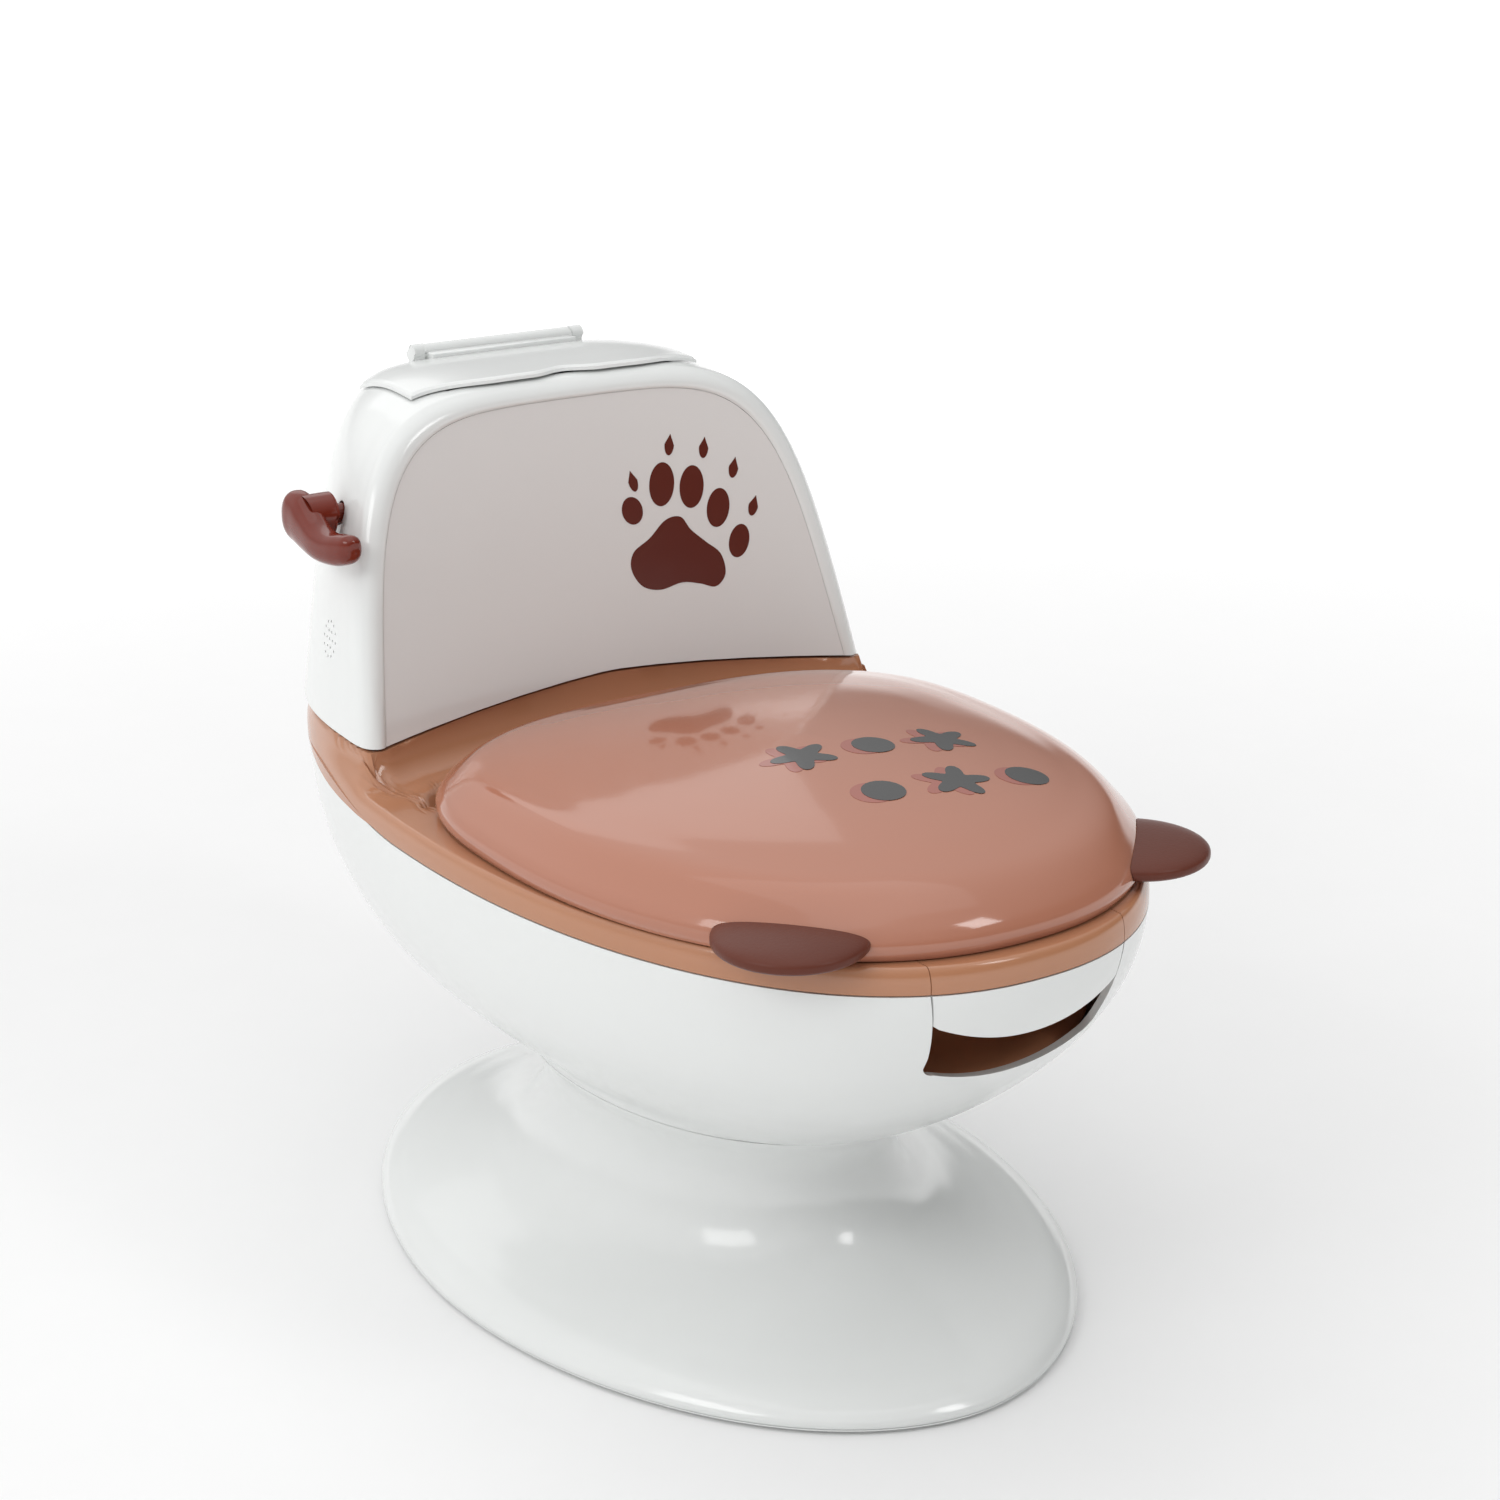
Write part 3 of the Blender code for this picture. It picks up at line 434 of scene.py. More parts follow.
def ranged(tree, source, target, **values):
    """Map Range node from one pair of values to another."""
    made = node(tree, "ShaderNodeMapRange", **values)
    for field, value in zip(("From Min", "From Max", "To Min", "To Max"), (*source, *target)):
        made.inputs[field].default_value = value
    return made


def moulded(name, color, roughness, mottling, peel, coat=0.0, grain=420.0, metallic=0.0, shine=0.5):
    """Moulded surface: faint cloudy colour, a fine orange-peel skin and slightly uneven gloss."""
    mat = bpy.data.materials.new(name)
    mat.use_nodes = True
    tree = mat.node_tree
    shader = tree.nodes["Principled BSDF"]
    place = node(tree, "ShaderNodeTexCoord")
    cloud = node(tree, "ShaderNodeTexNoise", Scale=22.0, Detail=4.0, Roughness=0.55)
    tint = node(tree, "ShaderNodeMix", data_type="RGBA")
    tint.inputs[MIX_A].default_value = (*[min(1.0, c * (1 - mottling)) for c in color], 1)
    tint.inputs[MIX_B].default_value = (*[min(1.0, c * (1 + mottling)) for c in color], 1)
    smear = node(tree, "ShaderNodeTexNoise", Scale=75.0, Detail=3.0)
    limits = (max(GLOSS_FLOOR, roughness - GLOSS_SPREAD), roughness + GLOSS_SPREAD)
    gloss = ranged(tree, (0.0, 1.0), limits)
    skin_noise = node(tree, "ShaderNodeTexNoise", Scale=grain, Detail=2.0)
    bump = node(tree, "ShaderNodeBump", Strength=peel, Distance=0.0004)
    link = tree.links.new
    for noise in (cloud, smear, skin_noise):
        link(place.outputs["Object"], noise.inputs["Vector"])
    link(cloud.outputs["Fac"], tint.inputs[0])
    link(tint.outputs[MIX_RESULT], shader.inputs["Base Color"])
    link(smear.outputs["Fac"], gloss.inputs["Value"])
    link(gloss.outputs["Result"], shader.inputs["Roughness"])
    link(skin_noise.outputs["Fac"], bump.inputs["Height"])
    link(bump.outputs["Normal"], shader.inputs["Normal"])
    shader.inputs["Metallic"].default_value = metallic
    shader.inputs["Coat Weight"].default_value = coat
    shader.inputs["Coat Roughness"].default_value = COAT_ROUGHNESS
    shader.inputs["Specular IOR Level"].default_value = shine
    return mat


MATERIALS = {
    "white_plastic": moulded("white_gloss", (0.80, 0.815, 0.805), 0.16, coat=0.25, mottling=0.012,
                             peel=0.03),
    "tan_plastic": moulded("tan_gloss", (0.47, 0.215, 0.115), 0.17, coat=0.3, mottling=0.035, peel=0.04),
    "lid_plastic": moulded("lid_gloss", (0.445, 0.185, 0.118), 0.11, coat=0.3, mottling=0.02, peel=0.02),
    "brown_plastic": moulded("brown_satin", (0.125, 0.034, 0.021), 0.36, mottling=0.06, peel=0.16,
                             grain=900.0, shine=0.22),
    "brown_gloss": moulded("brown_gloss", (0.17, 0.022, 0.011), 0.12, coat=0.12, mottling=0.05, peel=0.04,
                           shine=0.4),
    "foot_rubber": moulded("grey_rubber", (0.26, 0.26, 0.27), 0.62, mottling=0.08, peel=0.35, grain=1500.0),
    "screw_steel": moulded("zinc_steel", (0.58, 0.59, 0.60), 0.28, mottling=0.06, peel=0.1, metallic=1.0),
    "black_plastic": moulded("black_plastic", (0.028, 0.028, 0.030), 0.42, mottling=0.1, peel=0.3,
                             grain=1500.0),
    "battery_wrap": moulded("battery_sleeve", (0.05, 0.20, 0.09), 0.25, mottling=0.05, peel=0.03),
    "board_green": moulded("solder_mask", (0.04, 0.20, 0.08), 0.32, mottling=0.12, peel=0.2, grain=1200.0),
}
# face panel: a light grey of its own, with a pinkish tint painted in as a reflection of the tan lid
PANEL_GREY_LID_REFLECTION = moulded("panel_grey_lid_reflection", (0.76, 0.735, 0.720), 0.10, coat=0.3, mottling=0.012, peel=0.015)
PAW_INK = moulded("paw_ink", (0.115, 0.022, 0.014), 0.14, coat=0.3, mottling=0.04, peel=0.02)
DARK_INK = moulded("dark_ink", (0.045, 0.045, 0.045), 0.13, coat=0.3, mottling=0.04, peel=0.02)
SHADOW_INK = moulded("shadow_ink", (0.37, 0.115, 0.085), 0.13, coat=0.3, mottling=0.04, peel=0.02)


def finish_piece(obj, slot, body, *nodes, material=None):
    """Give a piece its material and slot, let it stand for its CAD nodes and ride on its body."""
    obj.data.materials.clear()
    obj.data.materials.append(material or MATERIALS[slot])
    if nodes:
        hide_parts(*nodes)
    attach(obj, body)
    return obj


# ---- base, pedestal and bowl ----
# edge of the base plate: inset and height
BASE_EDGE = ((0.0020, 0.0040), (0.0012, 0.0040), (0.0003, 0.0042), (0.0, 0.0045), (0.0003, 0.0048),
             (0.0012, 0.0050), (0.0020, 0.0050))
# pedestal: share of the way from the waist to the foot or the neck, and height
PEDESTAL_PROFILE = ((1.0, 0.0053), (1.0, 0.0066), (0.975, 0.0092), (0.90, 0.0128), (0.72, 0.0171),
                    (0.52, 0.0214), (0.34, 0.0266), (0.17, 0.0343), (0.05, 0.0465), (0.01, 0.0600),
                    (0.04, 0.0700), (0.16, 0.08185))
WAIST_Z = 0.060
NECK_SHARE = 0.16            # share at which the neck's own outline is reached

NOTCH_TOP = 0.230
NOTCH_SIDE = ((0.0, 0.1790), (0.0022, 0.1660), (0.0042, 0.1540))
CORNER_INSET = 0.0102
CORNER_Z = 0.1510
CORNER_RADIUS = 0.0060
CORNER_FROM = math.radians(10)
CORNER_SWEEP = math.radians(62)
CORNER_STEPS = 8
LIP_INSET = 0.0010
LIP_LOW = 0.1404
LIP_STEPS = 24

SKIRT_TOP = 0.1797
SKIRT_INSET = 0.0016
SKIRT_SIDE = 0.1680
SKIRT_LOW = 0.1584
SKIRT_RISE = 0.0092
SKIRT_HALF = 0.0384
SKIRT_STEPS = 20
SKIRT_FROM = 0.3             # the skirt is cut from the bowl above this share of its height
FRONT_CUT = (-0.26, -0.150)  # reach of the cuts through the bowl's front
BOWL_SHARES = [0.0, 0.02, 0.05, 0.085] + [k / 40 for k in range(5, 41)]


def make_base():
    rings = []
    for inset, z in BASE_EDGE:
        rings.append([(x, y, z) for x, y in plan_points(BASE_PLAN, inset)])
    plate = settle(to_object("base_plate_fine", *skin(rings, True, True)), 0.9)
    finish_piece(plate, "white_plastic", "root", "base_plate")


def make_pedestal():
    rings = []
    for share, z in PEDESTAL_PROFILE:
        if z > WAIST_Z:
            plan = mix_plans(WAIST_PLAN, NECK_PLAN, share / NECK_SHARE)
        else:
            plan = mix_plans(WAIST_PLAN, BASE_PLAN, share)
        rings.append([(x, y, z) for x, y in plan_points(plan)])
    pedestal = to_object("pedestal_fine", *skin(refine(rings), close_end=True))
    wall(pedestal, WALL)
    finish_piece(settle(pedestal), "white_plastic", "root", "pedestal")


def notch_outline(margin):
    """The front notch for the pot handle and the finger hole, with its round lower corners."""
    half = SEAM_HALF + margin
    side = [(half, NOTCH_TOP)] + [(half - inset, z) for inset, z in NOTCH_SIDE]
    for k in range(1, CORNER_STEPS + 1):
        angle = -CORNER_FROM - CORNER_SWEEP * k / CORNER_STEPS
        side.append((half - CORNER_INSET + CORNER_RADIUS * math.cos(angle),
                     CORNER_Z + CORNER_RADIUS * math.sin(angle)))
    reach, low = side[-1][0] - LIP_INSET, side[-1][1]
    lip = []
    for k in range(LIP_STEPS + 1):
        x = reach - 2 * reach * k / LIP_STEPS
        lip.append((x, LIP_LOW - margin + (low - LIP_LOW + margin) * (abs(x) / reach) ** 2))
    return side + lip + [(-x, z) for x, z in reversed(side)]


def skirt_outline(margin):
    half = SEAM_HALF - margin
    points = [(half, SKIRT_TOP), (half - SKIRT_INSET, SKIRT_SIDE)]
    for k in range(1, 2 * SKIRT_STEPS):
        x = (half - SKIRT_INSET) * (1 - k / SKIRT_STEPS)
        points.append((x, SKIRT_LOW + SKIRT_RISE * (x / SKIRT_HALF) ** 2))
    return points + [(-half + SKIRT_INSET, SKIRT_SIDE), (-half, SKIRT_TOP)]


def make_bowl():
    bowl = to_object("bowl_shell_fine", *skin([bowl_ring(t) for t in BOWL_SHARES], close_start=True))
    wall(bowl, WALL)
    cut(bowl, prism(notch_outline(GAP), "y", *FRONT_CUT))
    finish_piece(settle(bowl), "white_plastic", "root", "bowl_shell")
    front = [bowl_ring(t) for t in BOWL_SHARES if t > SKIRT_FROM]
    skirt = to_object("pot_handle_skirt_fine", *skin(front))
    wall(skirt, WALL)
    cut(skirt, prism(skirt_outline(GAP), "y", *FRONT_CUT), "INTERSECT")
    finish_piece(settle(skirt), "white_plastic", "root", "pot_handle_skirt")


# ---- seat deck and pot handle ----
EDGE_ROLL = 0.055            # share of the deck's breadth over which its outer edge rolls down
EDGE_DROP = 0.0078
EDGE_STEPS = 9
UNDER_ROLL = 0.0036          # depth of the underside where the edge begins to roll
UNDER_GAP = 0.0002
CLIMB_WEIGHT = 7.0           # how strongly the deck's lines crowd on a climb
DECK_LINES = 130
DECK_PROBES = 900
INNER_SHARE = 0.05           # innermost of the crowded lines
INNER_ROLL = ((0.020, 0.0001), (0.006, 0.0005))
# collar round the opening: inset and depth
COLLAR = ((0.0, 0.0014), (0.0006, 0.0088), (0.0002, 0.0092), (-0.0010, 0.0092), (-0.0014, 0.0088),
          (-0.0020, 0.0030))
DECK_FRONT = -0.25           # the seams between the deck and the pot handle start in front of both
SEAM_REAR = -0.125
HANDLE_REAR = -0.1253        # under the pot's rim, so that no hole shows beside it with the lid up
DECK_CUT = (0.15, 0.23)
DECK_SHARP = 0.8


def ray_shares(start, end):
    """Shares along one ray of the deck, crowded where its surface climbs steeply."""
    (xi, yi), (xo, yo) = start, end
    shares = np.linspace(1 - EDGE_ROLL, INNER_SHARE, DECK_PROBES)
    points = [(xi + (xo - xi) * t, yi + (yo - yi) * t) for t in shares]
    heights = np.array([deck_height(x, y) for x, y in points])
    run = np.hypot(*np.diff(np.array(points), axis=0).T)
    measure = np.concatenate([[0.0], np.cumsum(run + CLIMB_WEIGHT * np.abs(np.diff(heights)))])
    return np.interp(np.linspace(0, measure[-1], DECK_LINES), measure, shares)


def deck_rings():
    outer = plan_points(DECK_PLAN)
    inner = plan_points(SEAT_PLAN)
    rays = np.array([ray_shares(start, end) for start, end in zip(inner, outer)])
    rays = sum(np.roll(rays, shift, axis=0) for shift in (-1, 0, 1)) / 3

    def surface(shares, drop):
        ring = []
        for (xo, yo), (xi, yi), share in zip(outer, inner, np.broadcast_to(shares, len(outer))):
            x, y = xi + (xo - xi) * share, yi + (yo - yi) * share
            ring.append((x, y, deck_height(x, y) - drop))
        return ring

    def foot(inset):
        return [(x, y, DECK_BOTTOM + deck_climb(y)) for x, y in plan_points(DECK_PLAN, inset)]

    rings = [foot(0.0004), foot(0.0)]
    for k in range(EDGE_STEPS):
        angle = math.pi / 2 * k / EDGE_STEPS
        rings.append(surface(1 - EDGE_ROLL * (1 - math.cos(angle)), EDGE_DROP * (1 - math.sin(angle))))
    rings += [surface(line, 0.0) for line in rays.T]
    rings += [surface(share, drop) for share, drop in INNER_ROLL]
    for inset, depth in COLLAR:
        rings.append([(x, y, SEAT_WELL - depth) for x, y in plan_points(SEAT_PLAN, inset)])
    # the underside needs only every third line
    rings += [surface(line, THIN_WALL + UNDER_GAP) for line in rays.T[:4:-3]]
    rings += [surface(1 - EDGE_ROLL, UNDER_ROLL), foot(THIN_WALL)]
    return rings


def front_strip(half, rear):
    outline = [(-half, DECK_FRONT), (half, DECK_FRONT), (half, rear), (-half, rear)]
    return prism(outline, "z", *DECK_CUT)


def make_deck():
    verts, faces = skin(deck_rings(), tube=True)
    deck = to_object("seat_deck_fine", verts, faces)
    cut(deck, front_strip(SEAM_HALF + GAP, SEAM_REAR))
    finish_piece(settle(deck, DECK_SHARP), "tan_plastic", "root", "seat_deck")
    pot_handle = to_object("pot_handle_fine", verts, faces)
    cut(pot_handle, front_strip(SEAM_HALF, HANDLE_REAR), "INTERSECT")
    finish_piece(settle(pot_handle, DECK_SHARP), "tan_plastic", "root", "pot_handle")


# ---- liner and pot ----
# height, half width, front and rear of each level
LINER_LEVELS = ((0.0890, 0.052, -0.090, 0.064), (0.1050, 0.073, -0.128, 0.088),
                (0.1345, 0.092, -0.1752, 0.100), (0.1375, 0.0935, -0.1774, 0.100),
                (0.1388, 0.0925, -0.1762, 0.098), (0.1412, 0.084, -0.1535, 0.086),
                (0.1790, 0.084, -0.1535, 0.060))
POT_LEVELS = ((0.0940, 0.040, -0.087, 0.000), (0.0975, 0.047, -0.098, 0.010),
              (0.1300, 0.058, -0.134, 0.016), (0.1828, 0.0630, -0.1460, 0.0215),
              (0.1838, 0.0650, -0.1482, 0.0240), (0.1840, 0.0690, -0.1530, 0.0290),
              (0.1850, 0.0705, -0.1550, 0.0305), (0.1862, 0.0700, -0.1545, 0.0300))
TUBS = (("pot_liner", LINER_LEVELS, 2.22), ("pot", POT_LEVELS, 2.1))
TUB_STEPS = 5


def make_tubs():
    for name, levels, exponent in TUBS:
        rings = []
        for z, half, front, rear in levels:
            plan = (half, (front + rear) / 2, front, rear, exponent, exponent)
            rings.append([(x, y, z) for x, y in plan_points(plan)])
        obj = to_object(f"{name}_fine", *skin(refine(rings, TUB_STEPS), close_start=True))
        wall(obj, THIN_WALL)
        finish_piece(settle(obj), "tan_plastic", "root", name)


# ---- lid with its ears ----
LID_EDGE = ((0.0012, LID_BOTTOM), (0.0, 0.1920), (0.0, 0.1950), (0.0014, 0.1978), (0.0050, 0.2020))
LID_DOME = ((0.90, 0.2083), (0.78, 0.2130), (0.60, 0.2172), (0.38, 0.2205), (0.16, 0.2225), (0.02, 0.2230))
EAR_CENTRE = (0.0720, -0.1585)
EAR_TURN = math.atan2(-0.642, 0.767)
EAR_HALF = (0.0262, 0.0262, 0.0050)
EAR_Z = 0.1953
EAR_RIM_POWER = 0.72         # below 1 makes the rim fuller
SLOT_HALF = 0.0055           # openings for the hinge posts
SLOT_Y = (0.0405, 0.080)
SLOT_Z = (0.180, 0.2030)


def lid_rings(grow=0.0):
    rings = [[(x, y, z) for x, y in plan_points(LID_PLAN, inset - grow)] for inset, z in LID_EDGE]
    for share, z in LID_DOME:
        rings.append([(x * share, LID_CENTRE + (y - LID_CENTRE) * share, z + grow)
                      for x, y in plan_points(LID_PLAN)])
    return refine(rings)


def make_lid():
    lid = to_object("lid_shell_fine", *skin(lid_rings(), close_end=True))
    wall(lid, LID_WALL)
    slots = []
    for x in (-POST_X, POST_X):
        slots.append(box((x - SLOT_HALF, SLOT_Y[0], SLOT_Z[0]), (x + SLOT_HALF, SLOT_Y[1], SLOT_Z[1])))
    cut(lid, merged(slots))
    return finish_piece(settle(lid), "lid_plastic", "lid", "lid_shell")


def make_ears():
    """Half-round ears: flattened lobes with a full rounded rim, cut to the lid's side."""
    for side, sign in (("left", -1), ("right", 1)):
        bm = bmesh.new()
        bmesh.ops.create_uvsphere(bm, u_segments=96, v_segments=48, radius=1.0)
        for v in bm.verts:
            u, w = v.co.x * EAR_HALF[0], v.co.y * EAR_HALF[1]
            x = EAR_CENTRE[0] + u * math.cos(EAR_TURN) - w * math.sin(EAR_TURN)
            y = EAR_CENTRE[1] + u * math.sin(EAR_TURN) + w * math.cos(EAR_TURN)
            v.co = (sign * x, y, EAR_Z + EAR_HALF[2] * power(v.co.z, EAR_RIM_POWER))
        ear = from_bmesh(f"ear_{side}_fine", bm)
        cut(ear, solid(*skin(lid_rings(GAP), True, True)))
        finish_piece(settle(ear, 0.9), "brown_plastic", "lid", f"ear_{side}")


# ---- tank ----
RECESS_SCALES = (0.04, 0.3, 0.6, 0.85, 1.0)
RIM_PROFILE = ((RIM_WIDTH, 0.0), (0.0075, -0.0006), (0.0060, -0.0008), (0.0030, 0.0004), (0.0010, 0.0030))
RIM_STEPS = 5
BODY_STEPS = 40
TAIL_SHARES = (0.92, 0.94, 0.955, 0.967, 0.976, 0.983, 0.988)
STORE_MOUTH = ((-0.0508, 0.1094, 0.300), (0.0508, 0.150, 0.340))
LEVER_HOLE = (-0.100, 0.0046, 0.030)     # centre along x, radius and length
DOOR_Y = (0.180, 0.205)
DOOR_STEP = 0.001
SPEAKER_X = -0.1060
SPEAKER_RINGS = ((0.0, 1), (0.0034, 6), (0.0068, 12))    # radius and number of holes
HOLE_RADIUS = 0.00055
HOLE_LENGTH = 0.012
LUG_X = 0.0362
LUG_RADIUS = 0.0034
LUG_WIDTH = 0.0046
LUG_FOOT = (0.0022, 0.0032, 0.3180)      # half width, half depth and lower end


def tank_rings():
    recess = [tank_section(RIM_WIDTH, RECESS, scale) for scale in RECESS_SCALES]
    rim = [tank_section(inset, depth) for inset, depth in RIM_PROFILE]
    rim += [tank_body_section(share) for share in (0.0, 0.1)]
    body = [tank_body_section(k / BODY_STEPS) for k in range(5, 37)]
    tail = [tank_body_section(share) for share in TAIL_SHARES]
    return recess + refine(rim, RIM_STEPS) + body + tail


def make_tank():
    verts, faces = skin(tank_rings(), True, True, wrap=False)
    tank = to_object("tank_shell_fine", verts, faces)
    wall(tank, WALL)
    cut(tank, box(*STORE_MOUTH))
    cut(tank, rod((LEVER_HOLE[0], *LEVER_AXIS), *LEVER_HOLE[1:]))
    half, low, high = DOOR
    cut(tank, box((-half, DOOR_Y[0], low), (half, DOOR_Y[1], high)))
    cut(tank, merged(sound_holes()))
    finish_piece(settle(tank), "white_plastic", "root", "tank_shell")
    door = to_object("battery_door_fine", verts, faces)
    wall(door, WALL)
    near, far = [y + DOOR_STEP for y in DOOR_Y]
    cut(door, box((-half + GAP, near, low + GAP), (half - GAP, far, high - GAP)), "INTERSECT")
    finish_piece(settle(door), "white_plastic", "root", "battery_door")


def sound_holes():
    """Rings of small holes for the speaker in the -X wall."""
    holes = []
    for ring, count in SPEAKER_RINGS:
        for k in range(count):
            angle = 2 * math.pi * k / count
            centre = (SPEAKER_X, SPEAKER[0] + ring * math.cos(angle), SPEAKER[1] + ring * math.sin(angle))
            holes.append(rod(centre, HOLE_RADIUS, HOLE_LENGTH, 16))
    return holes


def make_lugs():
    """The two lugs on the tank's roof that hold the tank lid's pin."""
    y, z = TANK_LID_HINGE
    half, deep, foot = LUG_FOOT
    parts = []
    for x in (-LUG_X, LUG_X):
        parts.append(rod((x, y, z), LUG_RADIUS, LUG_WIDTH, bevel=0.0006))
        parts.append(box((x - half, y - deep, foot), (x + half, y + deep, z), 0.0004))
    lugs = settle(from_bmesh("tank_lid_lugs", merged(parts)))
    finish_piece(lugs, "white_plastic", "root")


PANEL_SCALES = (0.04, 0.2, 0.4, 0.6, 0.8, 0.9, 0.96, 1.0)
PANEL_DEPTH = 0.0001
PANEL_GAP = 0.00015
PANEL_THICK = 0.0018


def panel_y(x, z):
    return face_y(x, z) + PANEL_DEPTH


def make_panel():
    rings = [tank_section(RIM_WIDTH + PANEL_GAP, PANEL_DEPTH, scale) for scale in PANEL_SCALES]
    panel = to_object("tank_face_panel_fine", *skin(rings, True, wrap=False))
    wall(panel, PANEL_THICK)
    # the panel's colour carries a painted reflection of the lid
    finish_piece(settle(panel), "white_plastic", "root", "tank_face_panel", material=PANEL_GREY_LID_REFLECTION)


# ---- tank lid ----
TANK_LID_FRONT = 0.1050
LID_CORNER = (0.0075, 0.030, 0.035)      # depth of the rounded corner, where it starts and its run
SCOOP = (0.0042, 0.015)                  # depth and half width of the finger scoop
LID_COLUMNS = 120
LID_ROWS = 40
LID_THICK = 0.0020
LID_LIFT = 0.0008
LID_ROLL = (0.0007, 0.0010)              # drop of the rolled edge and its width
BARREL = (0.0032, 0.0670)                # radius and length
WEB = ((-0.0331, 0.1550, 0.3246), (0.0331, 0.1622, 0.3279))


def tank_lid_front(x):
    depth, start, run = LID_CORNER
    corner = depth * smooth((abs(x) - start) / run)
    scoop = SCOOP[0] * (1 - smooth(abs(x) / SCOOP[1]))
    return TANK_LID_FRONT + corner + scoop


def make_tank_lid():
    """Curved plate over the store, with rolled edges, a finger scoop and its hinge barrel."""
    loops = []
    for i in range(LID_COLUMNS + 1):
        x = TANK_LID_HALF * (2 * i / LID_COLUMNS - 1)
        start = tank_lid_front(x)
        top, low = [], []
        for j in range(LID_ROWS + 1):
            y = start + (TANK_LID_REAR - start) * j / LID_ROWS
            z = roof_height(x, y)
            edge = min(y - start, TANK_LID_REAR - y, TANK_LID_HALF - abs(x))
            roll = LID_ROLL[0] * (1 - min(1.0, edge / LID_ROLL[1])) ** 2
            top.append((x, y, z + LID_LIFT + LID_THICK - roll))
            low.append((x, y, z + LID_LIFT))
        loops.append(top + low[::-1])
    plate = solid(*skin(loops, True, True))
    barrel = rod((0, *TANK_LID_HINGE), *BARREL, bevel=0.0004)
    web = box(*WEB, 0.0006)
    lid = settle(from_bmesh("tank_lid_fine", merged([plate, barrel, web])))
    finish_piece(lid, "white_plastic", "tank_lid", "tank_lid")


# ---- flush lever ----
# grip from the stem to its tip: y, x, z and the section's half width and half height
GRIP = ((0.1222, -0.1118, 0.2812, 0.0040, 0.0062), (0.1200, -0.1116, 0.2812, 0.0058, 0.0088),
        (0.1130, -0.1114, 0.2802, 0.0064, 0.0100), (0.1050, -0.1116, 0.2772, 0.0062, 0.0084),
        (0.0970, -0.1118, 0.2748, 0.0059, 0.0068), (0.0890, -0.1112, 0.2742, 0.0056, 0.0061),
        (0.0815, -0.1100, 0.2752, 0.0052, 0.0060), (0.0765, -0.1092, 0.2764, 0.0040, 0.0048),
        (0.0748, -0.1090, 0.2768, 0.0022, 0.0028))
GRIP_SIDES = 48
GRIP_STEPS = 6
GRIP_POWER = 0.85            # below 1 makes the section a little square
TIP_SHRINK = 0.35
TIP_REACH = (0.0008, -0.0005)            # how far the two closing rings stand beyond the ends
STEM = (-0.10665, 0.0088, 0.0097)        # centre along x, radius and length


def make_lever():
    """A fat stem whose grip curls forwards to a rounded tip."""
    rings = []
    for y, x, z, half_x, half_z in GRIP:
        ring = []
        for k in range(GRIP_SIDES):
            angle = 2 * math.pi * k / GRIP_SIDES
            across, up = power(math.cos(angle), GRIP_POWER), power(math.sin(angle), GRIP_POWER)
            ring.append((x - half_x * across, y, z + half_z * up))
        rings.append(ring)
    tips = []
    for end, reach in zip((0, -1), TIP_REACH):
        y, x, z = GRIP[end][:3]
        centre = np.array([x, y + reach, z])
        tips.append([tuple(np.array(p) * TIP_SHRINK + centre * (1 - TIP_SHRINK)) for p in rings[end]])
    grip = solid(*skin(refine([tips[0]] + rings + [tips[1]], GRIP_STEPS), True, True))
    stem = rod((STEM[0], *LEVER_AXIS), *STEM[1:], bevel=0.0010)
    lever = from_bmesh("flush_lever_fine", merged([grip, stem]))
    finish_piece(settle(lever, 0.8), "brown_gloss", "lever", "flush_lever")


# ---- printed decoration ----
# paw print on the tank's face, (x, z): the pad's outline, then each toe with its half sizes and turn
PAW_PAD = ((0.0150, 0.2480), (0.0170, 0.2545), (0.0250, 0.2590), (0.0330, 0.2650), (0.0400, 0.2655),
           (0.0440, 0.2600), (0.0500, 0.2545), (0.0560, 0.2490), (0.0570, 0.2410), (0.0520, 0.2365),
           (0.0450, 0.2385), (0.0370, 0.2400), (0.0270, 0.2385), (0.0190, 0.2410))
PAW_TOES = ((0.0188, 0.2705, 0.0054, 0.0047, 100), (0.0335, 0.2790, 0.0086, 0.0056, 75),
            (0.0468, 0.2765, 0.0084, 0.0054, 75), (0.0575, 0.2670, 0.0078, 0.0050, 70),
            (0.0650, 0.2530, 0.0068, 0.0044, 65))
PAW_CLAWS = ((0.0207, 0.2818), (0.0392, 0.2938), (0.0545, 0.2910), (0.0668, 0.2818), (0.0735, 0.2660))
CLAW_HALF = (0.0042, 0.0021)
CLAW_POINT = 0.85
FACE_PASSES = 3              # rounds that settle a height on the leaning face
INK = 0.00012                # printed ink stands this far off the plastic
INK_SCALES = (0.04, 0.3, 0.55, 0.78, 0.92, 1.0)
CURVE_STEPS = 8
OVAL_STEPS = 40
STAR_STEPS = 90
STAR_POINTS = 5
STAR_SWELL = 0.26            # how far a star's points stand out, as a share of its size

MOTIF_ROWS = ((-0.0800, (-0.0130, 0.0150, 0.0430)), (-0.1180, (-0.0060, 0.0230, 0.0510)))
MOTIF_SLANT = 0.12
DOT_HALF = 0.0078
STAR_SIZE = 0.0125
SHADOW_SHIFT = (-0.0042, 0.0006)
ABOVE_LID = 0.30


def print_shape(outline, lay):
    """Closed thin sheet of ink over an outline, laid on a surface by lay(u, v, lift)."""
    centre = np.mean(outline, axis=0)

    def sheet(lift):
        return [[lay(*(centre + (np.array(p) - centre) * scale), lift) for p in outline]
                for scale in INK_SCALES]

    return solid(*skin(sheet(INK) + sheet(INK / 3)[::-1], True, True))


